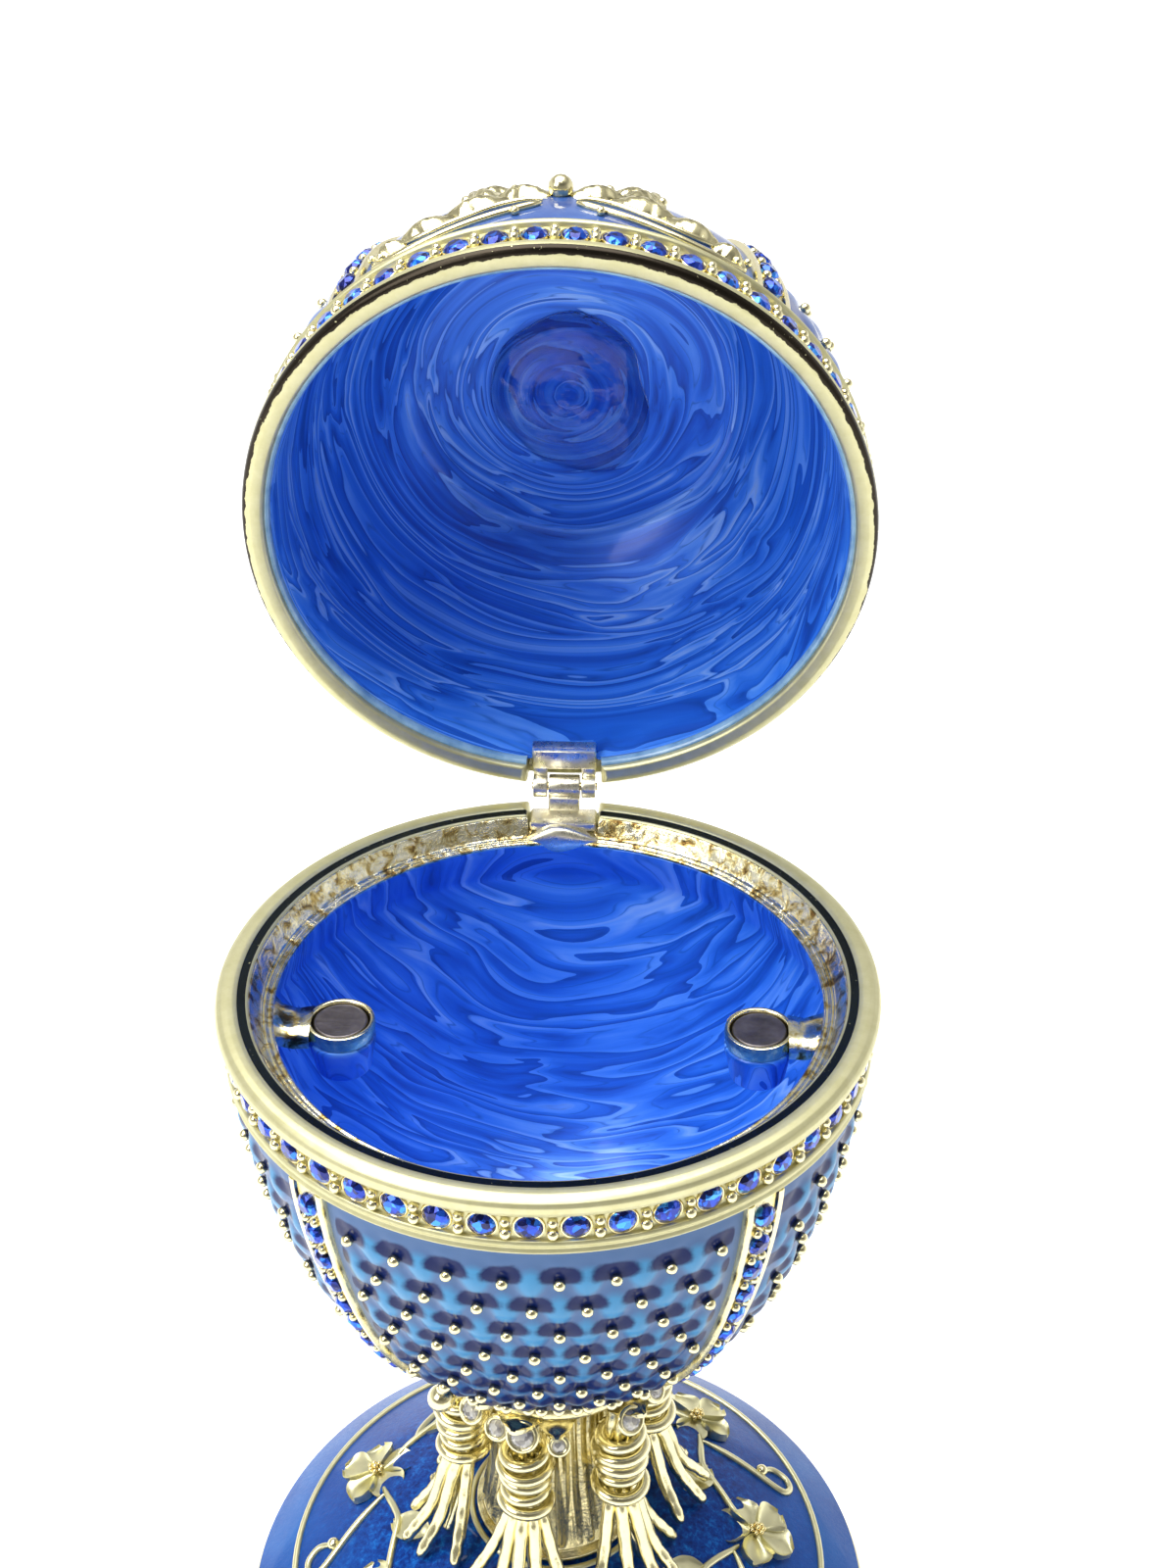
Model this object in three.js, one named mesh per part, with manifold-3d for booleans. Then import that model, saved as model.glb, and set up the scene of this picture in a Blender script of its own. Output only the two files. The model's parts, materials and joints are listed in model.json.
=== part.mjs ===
// Jewelled egg trinket box: an enamelled metal egg that opens on a back hinge, carried by a
// root-and-twig stem on a domed base with raised blossoms. Millimetres, +Z up, front towards -Y.
// The origin is the centre of the base's underside. The lid stands open against its stop.
import * as THREE from 'three';
import { mergeVertices } from 'three/addons/utils/BufferGeometryUtils.js';
import Module from 'manifold-3d';

// ---- driving dimensions ----
const SEGMENTS = 28; // facets around every turned form
const SINK = 0.45; // how deep a raised detail is rooted in its surface
const GAP = 0.35; // clearance between neighbouring pieces

const SEAT_Z = 102.5; // height of the plane where lid and bowl meet
const RIM_RADIUS = 35; // outer edge of the bowl's rim
const LIP_RADIUS = 32.2; // outer wall of the raised lip that centres the lid
const LIP_HEIGHT = 0.75;
const LIP_WIDTH = 1.1;
const WALL = 2.6; // wall of bowl and lid

const BOWL_RADIUS = 33.9; // bowl panel just below the stone band
const BOWL_TOP = -7; // panel top, from the seat plane
const BOWL_DEPTH = 42.5; // panel top to the bottom of the bowl
const BOWL_FLATNESS = 1.45;
const BOWL_FULLNESS = 3.17;

const LID_RADIUS = 33.6; // lid panel just above the stone band
const LID_TOP = 7.3; // panel start, from the seat plane
const LID_DEPTH = 34.7;
const LID_FLATNESS = 2.1;
const LID_FULLNESS = 2;
const LID_POOL_Z = 32.5; // enamel that settled in the crown of the lid

const RIB_AZIMUTHS = [41, 139, -139, -41]; // ribs that part the egg into four panels
const RIB_HALF_ANGLE = 4.5;
const BOWL_STONES = 48;
const LID_STONES = 52;
const STONE_RADIUS = 1.45;

const HINGE_Y = 35.3;
const HINGE_Z = SEAT_Z + 1.37;
const OPEN_ANGLE = THREE.MathUtils.degToRad(82);
const KNUCKLE_RADIUS = 1.35;
const KNUCKLE_HALF = 1.85; // half length of the middle knuckle
const HINGE_HALF = 3.7; // half length of the whole hinge
const PIN_RADIUS = 0.5;
const NOTCH_HALF = 4.2; // half width of the notches cut for the hinge

const MAGNET_X = 22.5;
const MAGNET_RADIUS = 3;
const MAGNET_TOP = -6.8; // from the seat plane
const BOSS_RADIUS = 3.6;

const BASE_RADIUS = 39.6;
const BASE_TOP_Z = 20.2;
const BASE_SEAT_RADIUS = 10.6; // flat spot that the stem stands on
const RING_LINE_RADIUS = 33.6;
const VINE_AXIS = 14; // azimuth of the plane that mirrors the vine

const STEM_TOP_Z = SEAT_Z + BOWL_TOP - BOWL_DEPTH - GAP;
const TRUNK_FLUTES = 12;
const BUNDLE_COUNT = 6;
const BUNDLE_RADIUS = 11; // distance of the tied bundles from the axis
const BUNDLE_PHASE = -15;
const TWIG_TIP_RADIUS = 16.4;
const SIDE_LEAF_TURN = 19; // from a bundle to the smaller leaf beside it
const BUD_AZIMUTHS = [-48, 132]; // balls on stalks under the bowl

const GOLD = { color: 0xd9c792, metalness: 1, roughness: 0.24 };
const BASE_ENAMEL = { color: 0x1f55b5, metalness: 0.2, roughness: 0.18 };
const BOWL_ENAMEL = { color: 0x2f7fae, metalness: 0.2, roughness: 0.15 };
const LID_ENAMEL = { color: 0x5a7fcf, metalness: 0.2, roughness: 0.15 };
const MAGNET_METAL = { color: 0x6c6a70, metalness: 1, roughness: 0.3 };

const wasm = await Module();
wasm.setup();

// ---- solids and meshes ----

// A closed geometry becomes a solid: position only, shared vertices merged, faces turned outwards.
function solid(geometry) {
  const bare = geometry.index ? geometry.toNonIndexed() : geometry.clone();
  for (const name of Object.keys(bare.attributes)) {
    if (name !== 'position') bare.deleteAttribute(name);
  }
  const merged = mergeVertices(bare, 1e-4);
  const corners = merged.index.array;
  const place = merged.attributes.position;
  const kept = [];
  let volume = 0;
  const [a, b, c] = [new THREE.Vector3(), new THREE.Vector3(), new THREE.Vector3()];
  for (let i = 0; i < corners.length; i += 3) {
    const face = [corners[i], corners[i + 1], corners[i + 2]];
    if (new Set(face).size < 3) continue;
    [a, b, c].forEach((corner, k) => corner.fromBufferAttribute(place, face[k]));
    volume += a.dot(b.cross(c));
    kept.push(...face);
  }
  if (volume < 0) kept.reverse();
  return new wasm.Manifold(new wasm.Mesh({
    numProp: 3,
    vertProperties: new Float32Array(place.array),
    triVerts: new Uint32Array(kept),
  }));
}

function unite(first, others) {
  return others.reduce((whole, piece) => whole.add(piece), first);
}

function named(name, shape, look) {
  const data = shape.getMesh();
  const geometry = new THREE.BufferGeometry();
  geometry.setAttribute('position', new THREE.BufferAttribute(data.vertProperties, 3));
  geometry.setIndex(new THREE.BufferAttribute(data.triVerts, 1));
  geometry.computeVertexNormals();
  const mesh = new THREE.Mesh(geometry, new THREE.MeshStandardMaterial(look));
  mesh.name = name;
  return mesh;
}

// A profile of [radius, height] pairs turned about the Z axis.
function turned(profile, segments = SEGMENTS) {
  const points = profile.map(([radius, height]) => new THREE.Vector2(radius, height));
  const geometry = new THREE.LatheGeometry(points, segments);
  return geometry.rotateX(Math.PI / 2);
}

// Rings of equally many points, joined ring to ring and capped at both ends.
function loft(rings) {
  const count = rings[0].length;
  const positions = rings.flat().flatMap((point) => [point.x, point.y, point.z]);
  const index = [];
  for (let i = 0; i + 1 < rings.length; i += 1) {
    for (let j = 0; j < count; j += 1) {
      const next = (j + 1) % count;
      const [p, q] = [i * count + j, i * count + next];
      index.push(p, q, p + count, q, q + count, p + count);
    }
  }
  const last = (rings.length - 1) * count;
  for (let j = 1; j + 1 < count; j += 1) {
    index.push(0, j + 1, j);
    index.push(last, last + j, last + j + 1);
  }
  const geometry = new THREE.BufferGeometry();
  geometry.setAttribute('position', new THREE.Float32BufferAttribute(positions, 3));
  geometry.setIndex(index);
  return geometry;
}

function box(low, high) {
  const size = high.map((value, i) => value - low[i]);
  const middle = high.map((value, i) => (value + low[i]) / 2);
  return solid(new THREE.BoxGeometry(...size).translate(...middle));
}

function polar(radius, azimuth, height) {
  const angle = THREE.MathUtils.degToRad(azimuth);
  return new THREE.Vector3(radius * Math.sin(angle), -radius * Math.cos(angle), height);
}

// ---- surfaces that carry raised details ----

// A turned surface given by radius(t) and height(t), with t from 0 at its edge to 1 on the axis.
class TurnedSurface {
  constructor(radius, height) {
    this.radius = radius;
    this.height = height;
  }

  point(t, azimuth) {
    return polar(this.radius(t), azimuth, this.height(t));
  }

  // Points away from the wall, by the slope of the profile around t.
  normal(t, azimuth) {
    const [before, after] = [Math.max(t - 0.01, 0), Math.min(t + 0.01, 1)];
    const run = this.radius(after) - this.radius(before);
    const rise = this.height(after) - this.height(before);
    const side = Math.sign(rise);
    return polar(rise * side, azimuth, -run * side).normalize();
  }

  profile(from, to, steps) {
    const places = Array.from({ length: steps + 1 }, (_, i) => from + ((to - from) * i) / steps);
    return places.map((t) => [this.radius(t), this.height(t)]);
  }
}

function eggSurface(radius, start, depth, flatness, fullness) {
  return new TurnedSurface(
    (t) => radius * (1 - t ** flatness) ** (1 / fullness),
    (t) => SEAT_Z + start + depth * t,
  );
}

// A ridge laid along stations { t, azimuth, width, height } of a surface.
function ridge(surface, stations) {
  const centres = stations.map(({ t, azimuth }) => surface.point(t, azimuth));
  const rings = stations.map(({ t, azimuth, width, height }, i) => {
    const ahead = centres[Math.min(i + 1, centres.length - 1)];
    const behind = centres[Math.max(i - 1, 0)];
    const normal = surface.normal(t, azimuth);
    const side = ahead.clone().sub(behind).cross(normal).setLength(width / 2);
    const root = centres[i].clone().addScaledVector(normal, -SINK);
    const crest = centres[i].clone().addScaledVector(normal, height);
    return [root.clone().sub(side), root.clone().add(side), crest];
  });
  return solid(loft(rings));
}

// A low pyramid with a few sides: a cut stone, a bead or a bud.
function stud(surface, t, azimuth, radius, height, sides) {
  const normal = surface.normal(t, azimuth);
  const cone = new THREE.ConeGeometry(radius, height + SINK, sides);
  cone.rotateY(Math.PI / sides);
  cone.translate(0, (height + SINK) / 2 - SINK, 0);
  cone.applyQuaternion(new THREE.Quaternion().setFromUnitVectors(new THREE.Vector3(0, 1, 0), normal));
  const place = surface.point(t, azimuth);
  return solid(cone.translate(place.x, place.y, place.z));
}

// A tapering twig through a few points.
function twig(points, startRadius, endRadius, sides) {
  const curve = new THREE.CatmullRomCurve3(points);
  const steps = 2;
  const frames = curve.computeFrenetFrames(steps, false);
  const rings = Array.from({ length: steps + 1 }, (_, i) => {
    const radius = THREE.MathUtils.lerp(startRadius, endRadius, i / steps);
    const centre = curve.getPointAt(i / steps);
    return Array.from({ length: sides }, (__, j) => {
      const angle = (2 * Math.PI * j) / sides;
      return centre.clone()
        .addScaledVector(frames.normals[i], radius * Math.cos(angle))
        .addScaledVector(frames.binormals[i], radius * Math.sin(angle));
    });
  });
  return solid(loft(rings));
}

// ---- decoration shared by bowl and lid ----

// A ring of cut stones standing in the channel at the given height.
function stoneBand(count, radius, height) {
  const channel = new TurnedSurface(() => radius, (t) => height + t);
  return Array.from({ length: count }, (_, i) => (
    stud(channel, 0, (360 * i) / count, STONE_RADIUS, 0.95, 4)
  ));
}

// A raised rib from t = 0 towards the axis, narrowing with the egg.
function rib(surface, azimuth, reach, steps) {
  const stations = Array.from({ length: steps + 1 }, (_, i) => {
    const t = (reach * i) / steps;
    const spread = THREE.MathUtils.degToRad(RIB_HALF_ANGLE);
    return { t, azimuth, width: Math.max(2.2 * surface.radius(t) * spread, 1.6), height: 0.8 };
  });
  const rings = stations.map(({ t, width, height }) => {
    const normal = surface.normal(t, azimuth);
    const side = polar(1, azimuth + 90, 0);
    const centre = surface.point(t, azimuth);
    const at = (across, lift) => centre.clone()
      .addScaledVector(side, across * width).addScaledVector(normal, lift);
    return [at(-0.5, -SINK), at(-0.42, height), at(0.42, height), at(0.5, -SINK)];
  });
  return solid(loft(rings));
}

// ---- bowl ----

function bossAt(side) {
  const post = solid(new THREE.CylinderGeometry(BOSS_RADIUS, BOSS_RADIUS - 0.8, 5.4, 12)
    .rotateX(Math.PI / 2)
    .translate(side * MAGNET_X, 0, SEAT_Z + MAGNET_TOP - 2.6));
  const reach = [side * MAGNET_X, side * (BOWL_RADIUS - 1.3)].sort((p, q) => p - q);
  const bridge = box(
    [reach[0], -2.5, SEAT_Z + MAGNET_TOP - 3.4],
    [reach[1], 2.5, SEAT_Z + MAGNET_TOP - 0.3],
  );
  return post.add(bridge);
}

function magnetPocket(side) {
  const depth = 2;
  return solid(new THREE.CylinderGeometry(MAGNET_RADIUS + 0.3, MAGNET_RADIUS + 0.3, depth + 1, 12)
    .rotateX(Math.PI / 2)
    .translate(side * MAGNET_X, 0, SEAT_Z + MAGNET_TOP - depth + (depth + 1) / 2));
}

function buildBowl() {
  const outside = eggSurface(BOWL_RADIUS, BOWL_TOP, -BOWL_DEPTH, BOWL_FLATNESS, BOWL_FULLNESS);
  const inside = eggSurface(
    BOWL_RADIUS - WALL, BOWL_TOP, WALL - BOWL_DEPTH, BOWL_FLATNESS, BOWL_FULLNESS);
  const footRadius = 5;
  const rim = [
    [33.9, -6.9], [34.5, -6.2], [34.3, -5.6], [33.3, -5.5], [33.3, -2.3],
    [34.6, -1.8], [RIM_RADIUS, -0.9], [34.3, 0], [LIP_RADIUS, 0], [LIP_RADIUS, LIP_HEIGHT],
    [LIP_RADIUS - LIP_WIDTH, LIP_HEIGHT], [LIP_RADIUS - LIP_WIDTH, -1.6], [30.4, -1.6],
  ].map(([radius, height]) => [radius, height + SEAT_Z]);
  const outerWall = outside.profile(0.98, 0.07, 5).filter(([radius]) => radius > footRadius);
  const bottomZ = SEAT_Z + BOWL_TOP - BOWL_DEPTH;
  const innerWall = inside.profile(0, 0.96, 3);
  const floorZ = bottomZ + WALL;
  const shell = solid(turned([
    [0, bottomZ], [footRadius, bottomZ], ...outerWall, ...rim, ...innerWall, [0, floorZ],
  ]));
  const details = [
    ...RIB_AZIMUTHS.map((azimuth) => rib(outside, azimuth, 0.9, 5)),
    ...stoneBand(BOWL_STONES, 33.3, SEAT_Z - 3.9),
  ];
  const notch = box([-NOTCH_HALF, 29.6, SEAT_Z - 2], [NOTCH_HALF, 40, SEAT_Z + 2]);
  let bowl = unite(shell, details);
  bowl = unite(bowl, [bossAt(-1), bossAt(1)]);
  bowl = bowl.subtract(magnetPocket(-1)).subtract(magnetPocket(1));
  return bowl.subtract(notch);
}

function buildMagnet(side) {
  const thickness = 1.5;
  return solid(new THREE.CylinderGeometry(MAGNET_RADIUS, MAGNET_RADIUS, thickness, 12)
    .rotateX(Math.PI / 2)
    .translate(side * MAGNET_X, 0, SEAT_Z + MAGNET_TOP - 0.1 - thickness / 2));
}

// ---- lid, modelled shut ----

// Acanthus scroll, mirrored about a panel's middle, with a ball between the two halves.
function scrollwork(surface, middle) {
  const branch = [
    { t: 0.1, azimuth: 33, width: 1.2, height: 0.5 },
    { t: 0.17, azimuth: 24, width: 3.6, height: 1 },
    { t: 0.27, azimuth: 15, width: 4.4, height: 1.3 },
    { t: 0.33, azimuth: 7, width: 3.4, height: 1.2 },
    { t: 0.34, azimuth: 1.5, width: 1.4, height: 0.9 },
  ];
  const curl = [
    { t: 0.27, azimuth: 15, width: 1.6, height: 1.1 },
    { t: 0.44, azimuth: 22, width: 2.8, height: 1.2 },
    { t: 0.55, azimuth: 14, width: 2, height: 1 },
    { t: 0.5, azimuth: 6, width: 1, height: 0.7 },
  ];
  const halves = [-1, 1].flatMap((side) => [branch, curl].map((line) => (
    ridge(surface, line.map((station) => ({ ...station, azimuth: middle + side * station.azimuth })))
  )));
  return [...halves, stud(surface, 0.34, middle, 1.5, 1.9, 6)];
}

// The rosette on the crown where the four ribs meet.
function crown(surface) {
  const top = surface.height(1);
  const flower = Array.from({ length: 16 }, (_, i) => ({ angle: i * 22.5, reach: i % 2 ? 4.2 : 5.6 }));
  const ring = (scale, height) => flower.map(({ angle, reach }) => polar(reach * scale, angle, height));
  return solid(loft([ring(1, top - 1.4), ring(0.92, top - 0.1), ring(0.3, top + 0.9)]));
}

function buildLid() {
  const outside = eggSurface(LID_RADIUS, LID_TOP, LID_DEPTH, LID_FLATNESS, LID_FULLNESS);
  const inside = eggSurface(LID_RADIUS - WALL, LID_TOP, LID_DEPTH - WALL, LID_FLATNESS, LID_FULLNESS);
  const floor = 0.25;
  const rim = [
    [32.55, floor], [34, floor], [34.45, 0.9], [34.45, 1.9], [34, 2.6],
    [33.3, 2.8], [33.3, 5.9], [34.1, 6], [34.3, 6.5], [33.9, 7.1],
  ].map(([radius, height]) => [radius, height + SEAT_Z]);
  const poolPlace = (LID_POOL_Z - LID_TOP) / (LID_DEPTH - WALL);
  const outerWall = outside.profile(0.06, 0.97, 5);
  const innerWall = inside.profile(poolPlace, 0, 3);
  const shell = solid(turned([
    [0, SEAT_Z + LID_POOL_Z], ...innerWall, [31.7, SEAT_Z + 1.6], [32.5, SEAT_Z + 1.3],
    ...rim, ...outerWall, [0, outside.height(1)],
  ].reverse()));
  const details = [
    ...RIB_AZIMUTHS.map((azimuth) => rib(outside, azimuth, 0.96, 5)),
    ...stoneBand(LID_STONES, 33.3, SEAT_Z + 4.35),
    ...[0, 180].flatMap((middle) => scrollwork(outside, middle)),
    crown(outside),
  ];
  const notch = box([-NOTCH_HALF, 29.6, SEAT_Z - 1], [NOTCH_HALF, 40, SEAT_Z + 3]);
  return unite(shell, details).subtract(notch);
}

// ---- hinge ----

// A round length of hinge along X, centred on the axis.
function barrel(from, to, radius) {
  return solid(new THREE.CylinderGeometry(radius, radius, to - from, 10)
    .rotateZ(Math.PI / 2)
    .translate((from + to) / 2, HINGE_Y, HINGE_Z));
}

function buildBowlLeaf() {
  const plate = box([-3.9, 30.2, SEAT_Z - 1.65], [3.9, 33.7, SEAT_Z - 0.75]);
  const tongue = box([-3.9, 28.8, SEAT_Z - 5], [3.9, 29.65, SEAT_Z - 0.75]);
  const lap = box([-3.9, 29, SEAT_Z - 1.25], [3.9, 30.5, SEAT_Z - 0.75]);
  const web = box([-KNUCKLE_HALF, 33.3, SEAT_Z - 1.65], [KNUCKLE_HALF, 36.1, SEAT_Z + 0.9]);
  const knuckle = barrel(-KNUCKLE_HALF, KNUCKLE_HALF, KNUCKLE_RADIUS);
  return unite(plate, [tongue, lap, web, knuckle]).subtract(barrel(-3, 3, PIN_RADIUS + 0.3));
}

function buildLidLeaf() {
  const plate = box([-3.9, 30, SEAT_Z + 1.75], [3.9, 33.3, SEAT_Z + 2.6]);
  const tongue = box([-3.9, 29.7, SEAT_Z + 1.75], [3.9, 30.5, SEAT_Z + 6.6]);
  const knuckles = [-1, 1].flatMap((side) => {
    const ends = [side * (KNUCKLE_HALF + GAP), side * HINGE_HALF].sort((p, q) => p - q);
    const web = box([ends[0], 33, SEAT_Z + 1.75], [ends[1], 35.3, SEAT_Z + 2.6]);
    return [web, barrel(ends[0], ends[1], KNUCKLE_RADIUS)];
  });
  return unite(plate, [tongue, ...knuckles]).subtract(barrel(-5, 5, PIN_RADIUS + 0.3));
}

// ---- base ----

// Height of the dome: a steeper outer slope up to the ring line, then a long rounded crown.
function domeHeight(radius) {
  const ringZ = 9.4;
  if (radius > RING_LINE_RADIUS) {
    const outward = (radius - RING_LINE_RADIUS) / (BASE_RADIUS - RING_LINE_RADIUS);
    return ringZ - 4.9 * outward ** 1.1;
  }
  const inward = (RING_LINE_RADIUS - radius) / (RING_LINE_RADIUS - BASE_SEAT_RADIUS);
  return ringZ + (BASE_TOP_Z - ringZ) * Math.sin((Math.min(inward, 1) * Math.PI) / 2.35) / 0.973;
}

const dome = new TurnedSurface(
  (t) => RING_LINE_RADIUS * (1 - t),
  (t) => domeHeight(RING_LINE_RADIUS * (1 - t)),
);

// Place on the dome given as distance from the axis.
function domePlace(radius) {
  return 1 - radius / RING_LINE_RADIUS;
}

// Five rounded petals in one low star, dished towards a raised heart.
function blossom(radius, azimuth, turn) {
  const t = domePlace(radius);
  const centre = dome.point(t, azimuth);
  const normal = dome.normal(t, azimuth);
  const outwards = polar(1, azimuth, 0).projectOnPlane(normal).normalize();
  const across = new THREE.Vector3().crossVectors(normal, outwards);
  const outline = Array.from({ length: 10 }, (_, i) => (i % 2 ? 4.9 : 2.9));
  const ring = (scale, lift) => outline.map((reach, i) => {
    const angle = turn + (Math.PI * i) / 5;
    return centre.clone().addScaledVector(normal, lift)
      .addScaledVector(outwards, reach * scale * Math.cos(angle))
      .addScaledVector(across, reach * scale * Math.sin(angle));
  });
  return [solid(loft([ring(0.9, -SINK), ring(1, 1.2), ring(0.3, 0.7)])),
    stud(dome, t, azimuth, 1, 1.7, 5)];
}

function vineSide(side) {
  const along = (offset) => VINE_AXIS + 180 + side * offset;
  const line = (stations) => ridge(dome, stations.map(([radius, offset, width, height]) => (
    { t: domePlace(radius), azimuth: along(offset), width, height })));
  const pieces = [];
  for (const [i, start] of [58.4, 104.6].entries()) {
    pieces.push(...blossom(24.8, along(start), i));
    pieces.push(line([[22, start + 8, 0.9, 0.7], [20.4, start + 24, 0.9, 0.7],
      [22.4, start + 41, 0.9, 0.7]]));
    pieces.push(line([[19.9, start + 16, 0.8, 0.6], [18.6, start + 23, 3, 0.9],
      [17.7, start + 31, 0.7, 0.5]]));
    pieces.push(line([[24, start + 13, 0.7, 0.6], [27.6, start + 19, 0.8, 0.7],
      [30.6, start + 26, 0.8, 0.7], [28.8, start + 20, 0.9, 0.9]]));
  }
  pieces.push(...blossom(24.8, along(150.8), 2));
  pieces.push(line([[23.4, 50, 0.9, 0.7], [22.6, 36, 1, 0.7], [21.8, 24, 2.6, 0.8], [21.4, 14, 0.8, 0.6]]));
  pieces.push(line([[23, 159, 0.9, 0.7], [22, 170, 0.9, 0.7], [22.6, 177.5, 0.9, 0.7]]));
  return pieces;
}

function buildBase() {
  const profile = [
    [0, 0], [38, 0], [39.2, 1], [BASE_RADIUS, 3.2], [39.4, 4.2], [37, domeHeight(37)],
    [34, domeHeight(34)], [33.6, 10], [33, domeHeight(33)], [26, domeHeight(26)],
    [18, domeHeight(18)], [BASE_SEAT_RADIUS, BASE_TOP_Z], [0, BASE_TOP_Z],
  ];
  const body = solid(turned(profile));
  return unite(body, [...vineSide(1), ...vineSide(-1)]);
}

// ---- stem ----

// Fluted trunk on a round foot, flaring at the top into the cup that the bowl sits on.
function trunk() {
  const flute = 0.35;
  const stations = [
    [BASE_TOP_Z + GAP, 10, 0], [BASE_TOP_Z + 1.2, 10, 0], [BASE_TOP_Z + 1.4, 9.1, flute],
    [BASE_TOP_Z + 9, 7.8, flute], [43.6, 7.4, flute], [46.6, 13.2, 0], [49.4, 12.4, 0],
    [STEM_TOP_Z, 8, 0],
  ];
  const rings = stations.map(([height, radius, depth]) => (
    Array.from({ length: 2 * TRUNK_FLUTES }, (_, i) => (
      polar(radius + (i % 2 ? -depth : depth), (180 * i) / TRUNK_FLUTES, height)))
  ));
  return solid(loft(rings));
}

// One bundle of roots tied with cord: a bound shaft above, four splayed twigs below.
function bundle(azimuth) {
  const foot = polar(BUNDLE_RADIUS, azimuth, 0);
  const shaftZ = 33;
  const profile = [[0, shaftZ], [2.1, shaftZ]];
  [35, 38, 41].forEach((height) => {
    profile.push([2.1, height - 1.5], [2.75, height]);
  });
  profile.push([2, 42.8], [2, 47], [0, 47]);
  const shaft = solid(turned(profile, 5).translate(foot.x, foot.y, 0));
  const across = polar(1, azimuth + 90, 0);
  const corners = [[-0.85, -0.7, 14.6], [0.85, -0.7, 14.6], [-0.85, 0.9, TWIG_TIP_RADIUS],
    [0.85, 0.9, TWIG_TIP_RADIUS]];
  const twigs = corners.map(([sideways, outwards, reach]) => {
    const spread = sideways * (outwards < 0 ? 26 : 9);
    const tipZ = domeHeight(reach) + 0.75 + 2 * GAP;
    const start = polar(BUNDLE_RADIUS + outwards, azimuth, shaftZ + 1).addScaledVector(across, sideways);
    return twig([
      start, start.clone().setZ(shaftZ - 4).add(polar(0.6, azimuth + spread, 0)),
      polar(reach, azimuth + spread, tipZ),
    ], 0.8, 0.7, 3);
  });
  return unite(shaft, twigs);
}

// A leaf of the cup under the bowl, curling out from the trunk.
function cupLeaf(azimuth, reach, tipZ, width) {
  const stations = [[10.8, 46.3, 0.8], [reach - 1.8, 47.6, 1], [reach, tipZ, 0.35]];
  const side = polar(1, azimuth + 90, 0);
  const rings = stations.map(([radius, height, share]) => {
    const centre = polar(radius, azimuth, height);
    const half = side.clone().multiplyScalar((width * share) / 2);
    const rise = new THREE.Vector3(0, 0, 0.7);
    return [centre.clone().sub(half), centre.clone().sub(rise), centre.clone().add(half),
      centre.clone().add(rise)];
  });
  return solid(loft(rings));
}

// A crystal set on a leaf of the cup.
function cupCrystal(azimuth, radius) {
  const crystal = new THREE.ConeGeometry(1.5, 1.7, 4);
  const outwards = polar(0.8, azimuth, 0.6);
  crystal.applyQuaternion(
    new THREE.Quaternion().setFromUnitVectors(new THREE.Vector3(0, 1, 0), outwards));
  const place = polar(radius, azimuth, 48.2);
  return solid(crystal.translate(place.x, place.y, place.z));
}

function bud(azimuth) {
  const place = polar(16.6, azimuth, 50.4);
  const ball = solid(new THREE.OctahedronGeometry(1.6).translate(place.x, place.y, place.z));
  return ball.add(twig([polar(11.4, azimuth, 47.9), polar(13.6, azimuth, 49.2), place], 0.9, 0.5, 3));
}

function buildStem() {
  const pieces = [];
  for (let i = 0; i < BUNDLE_COUNT; i += 1) {
    const azimuth = BUNDLE_PHASE + (360 * i) / BUNDLE_COUNT;
    pieces.push(bundle(azimuth));
    pieces.push(cupLeaf(azimuth, 14.4, 49.6, 6), cupCrystal(azimuth, 13));
    pieces.push(cupLeaf(azimuth + SIDE_LEAF_TURN, 13.2, 49, 4.4));
  }
  pieces.push(...BUD_AZIMUTHS.map(bud));
  return unite(trunk(), pieces);
}

// ---- assembly ----

const eggBox = new THREE.Group();
eggBox.add(named('base', buildBase(), BASE_ENAMEL));
eggBox.add(named('stem', buildStem(), GOLD));
eggBox.add(named('bowl', buildBowl(), BOWL_ENAMEL));
eggBox.add(named('hinge_bowl_leaf', buildBowlLeaf(), GOLD));
eggBox.add(named('hinge_pin', barrel(-HINGE_HALF - 0.2, HINGE_HALF + 0.2, PIN_RADIUS), GOLD));
eggBox.add(named('magnet_left', buildMagnet(-1), MAGNET_METAL));
eggBox.add(named('magnet_right', buildMagnet(1), MAGNET_METAL));

const openLid = new THREE.Group();
openLid.position.set(0, HINGE_Y, HINGE_Z);
openLid.rotation.x = -OPEN_ANGLE;
for (const mesh of [named('lid', buildLid(), LID_ENAMEL), named('hinge_lid_leaf', buildLidLeaf(), GOLD)]) {
  mesh.position.set(0, -HINGE_Y, -HINGE_Z);
  openLid.add(mesh);
}
eggBox.add(openLid);

export default eggBox;
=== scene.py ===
"""Jewelled egg trinket box: the finishes and fine surface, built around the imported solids.

Every length in the classes is in millimetres, in the part's own frame, and becomes metres when a
piece is made. The lid's pieces are shaped as if the egg were shut and then turned to where the lid
stands open. Azimuths are in degrees from the front, positive towards +X.
"""
import json
import logging
import math
from dataclasses import dataclass, field
from enum import Enum

import bpy
import numpy as np
from mathutils import Matrix, Vector


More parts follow.
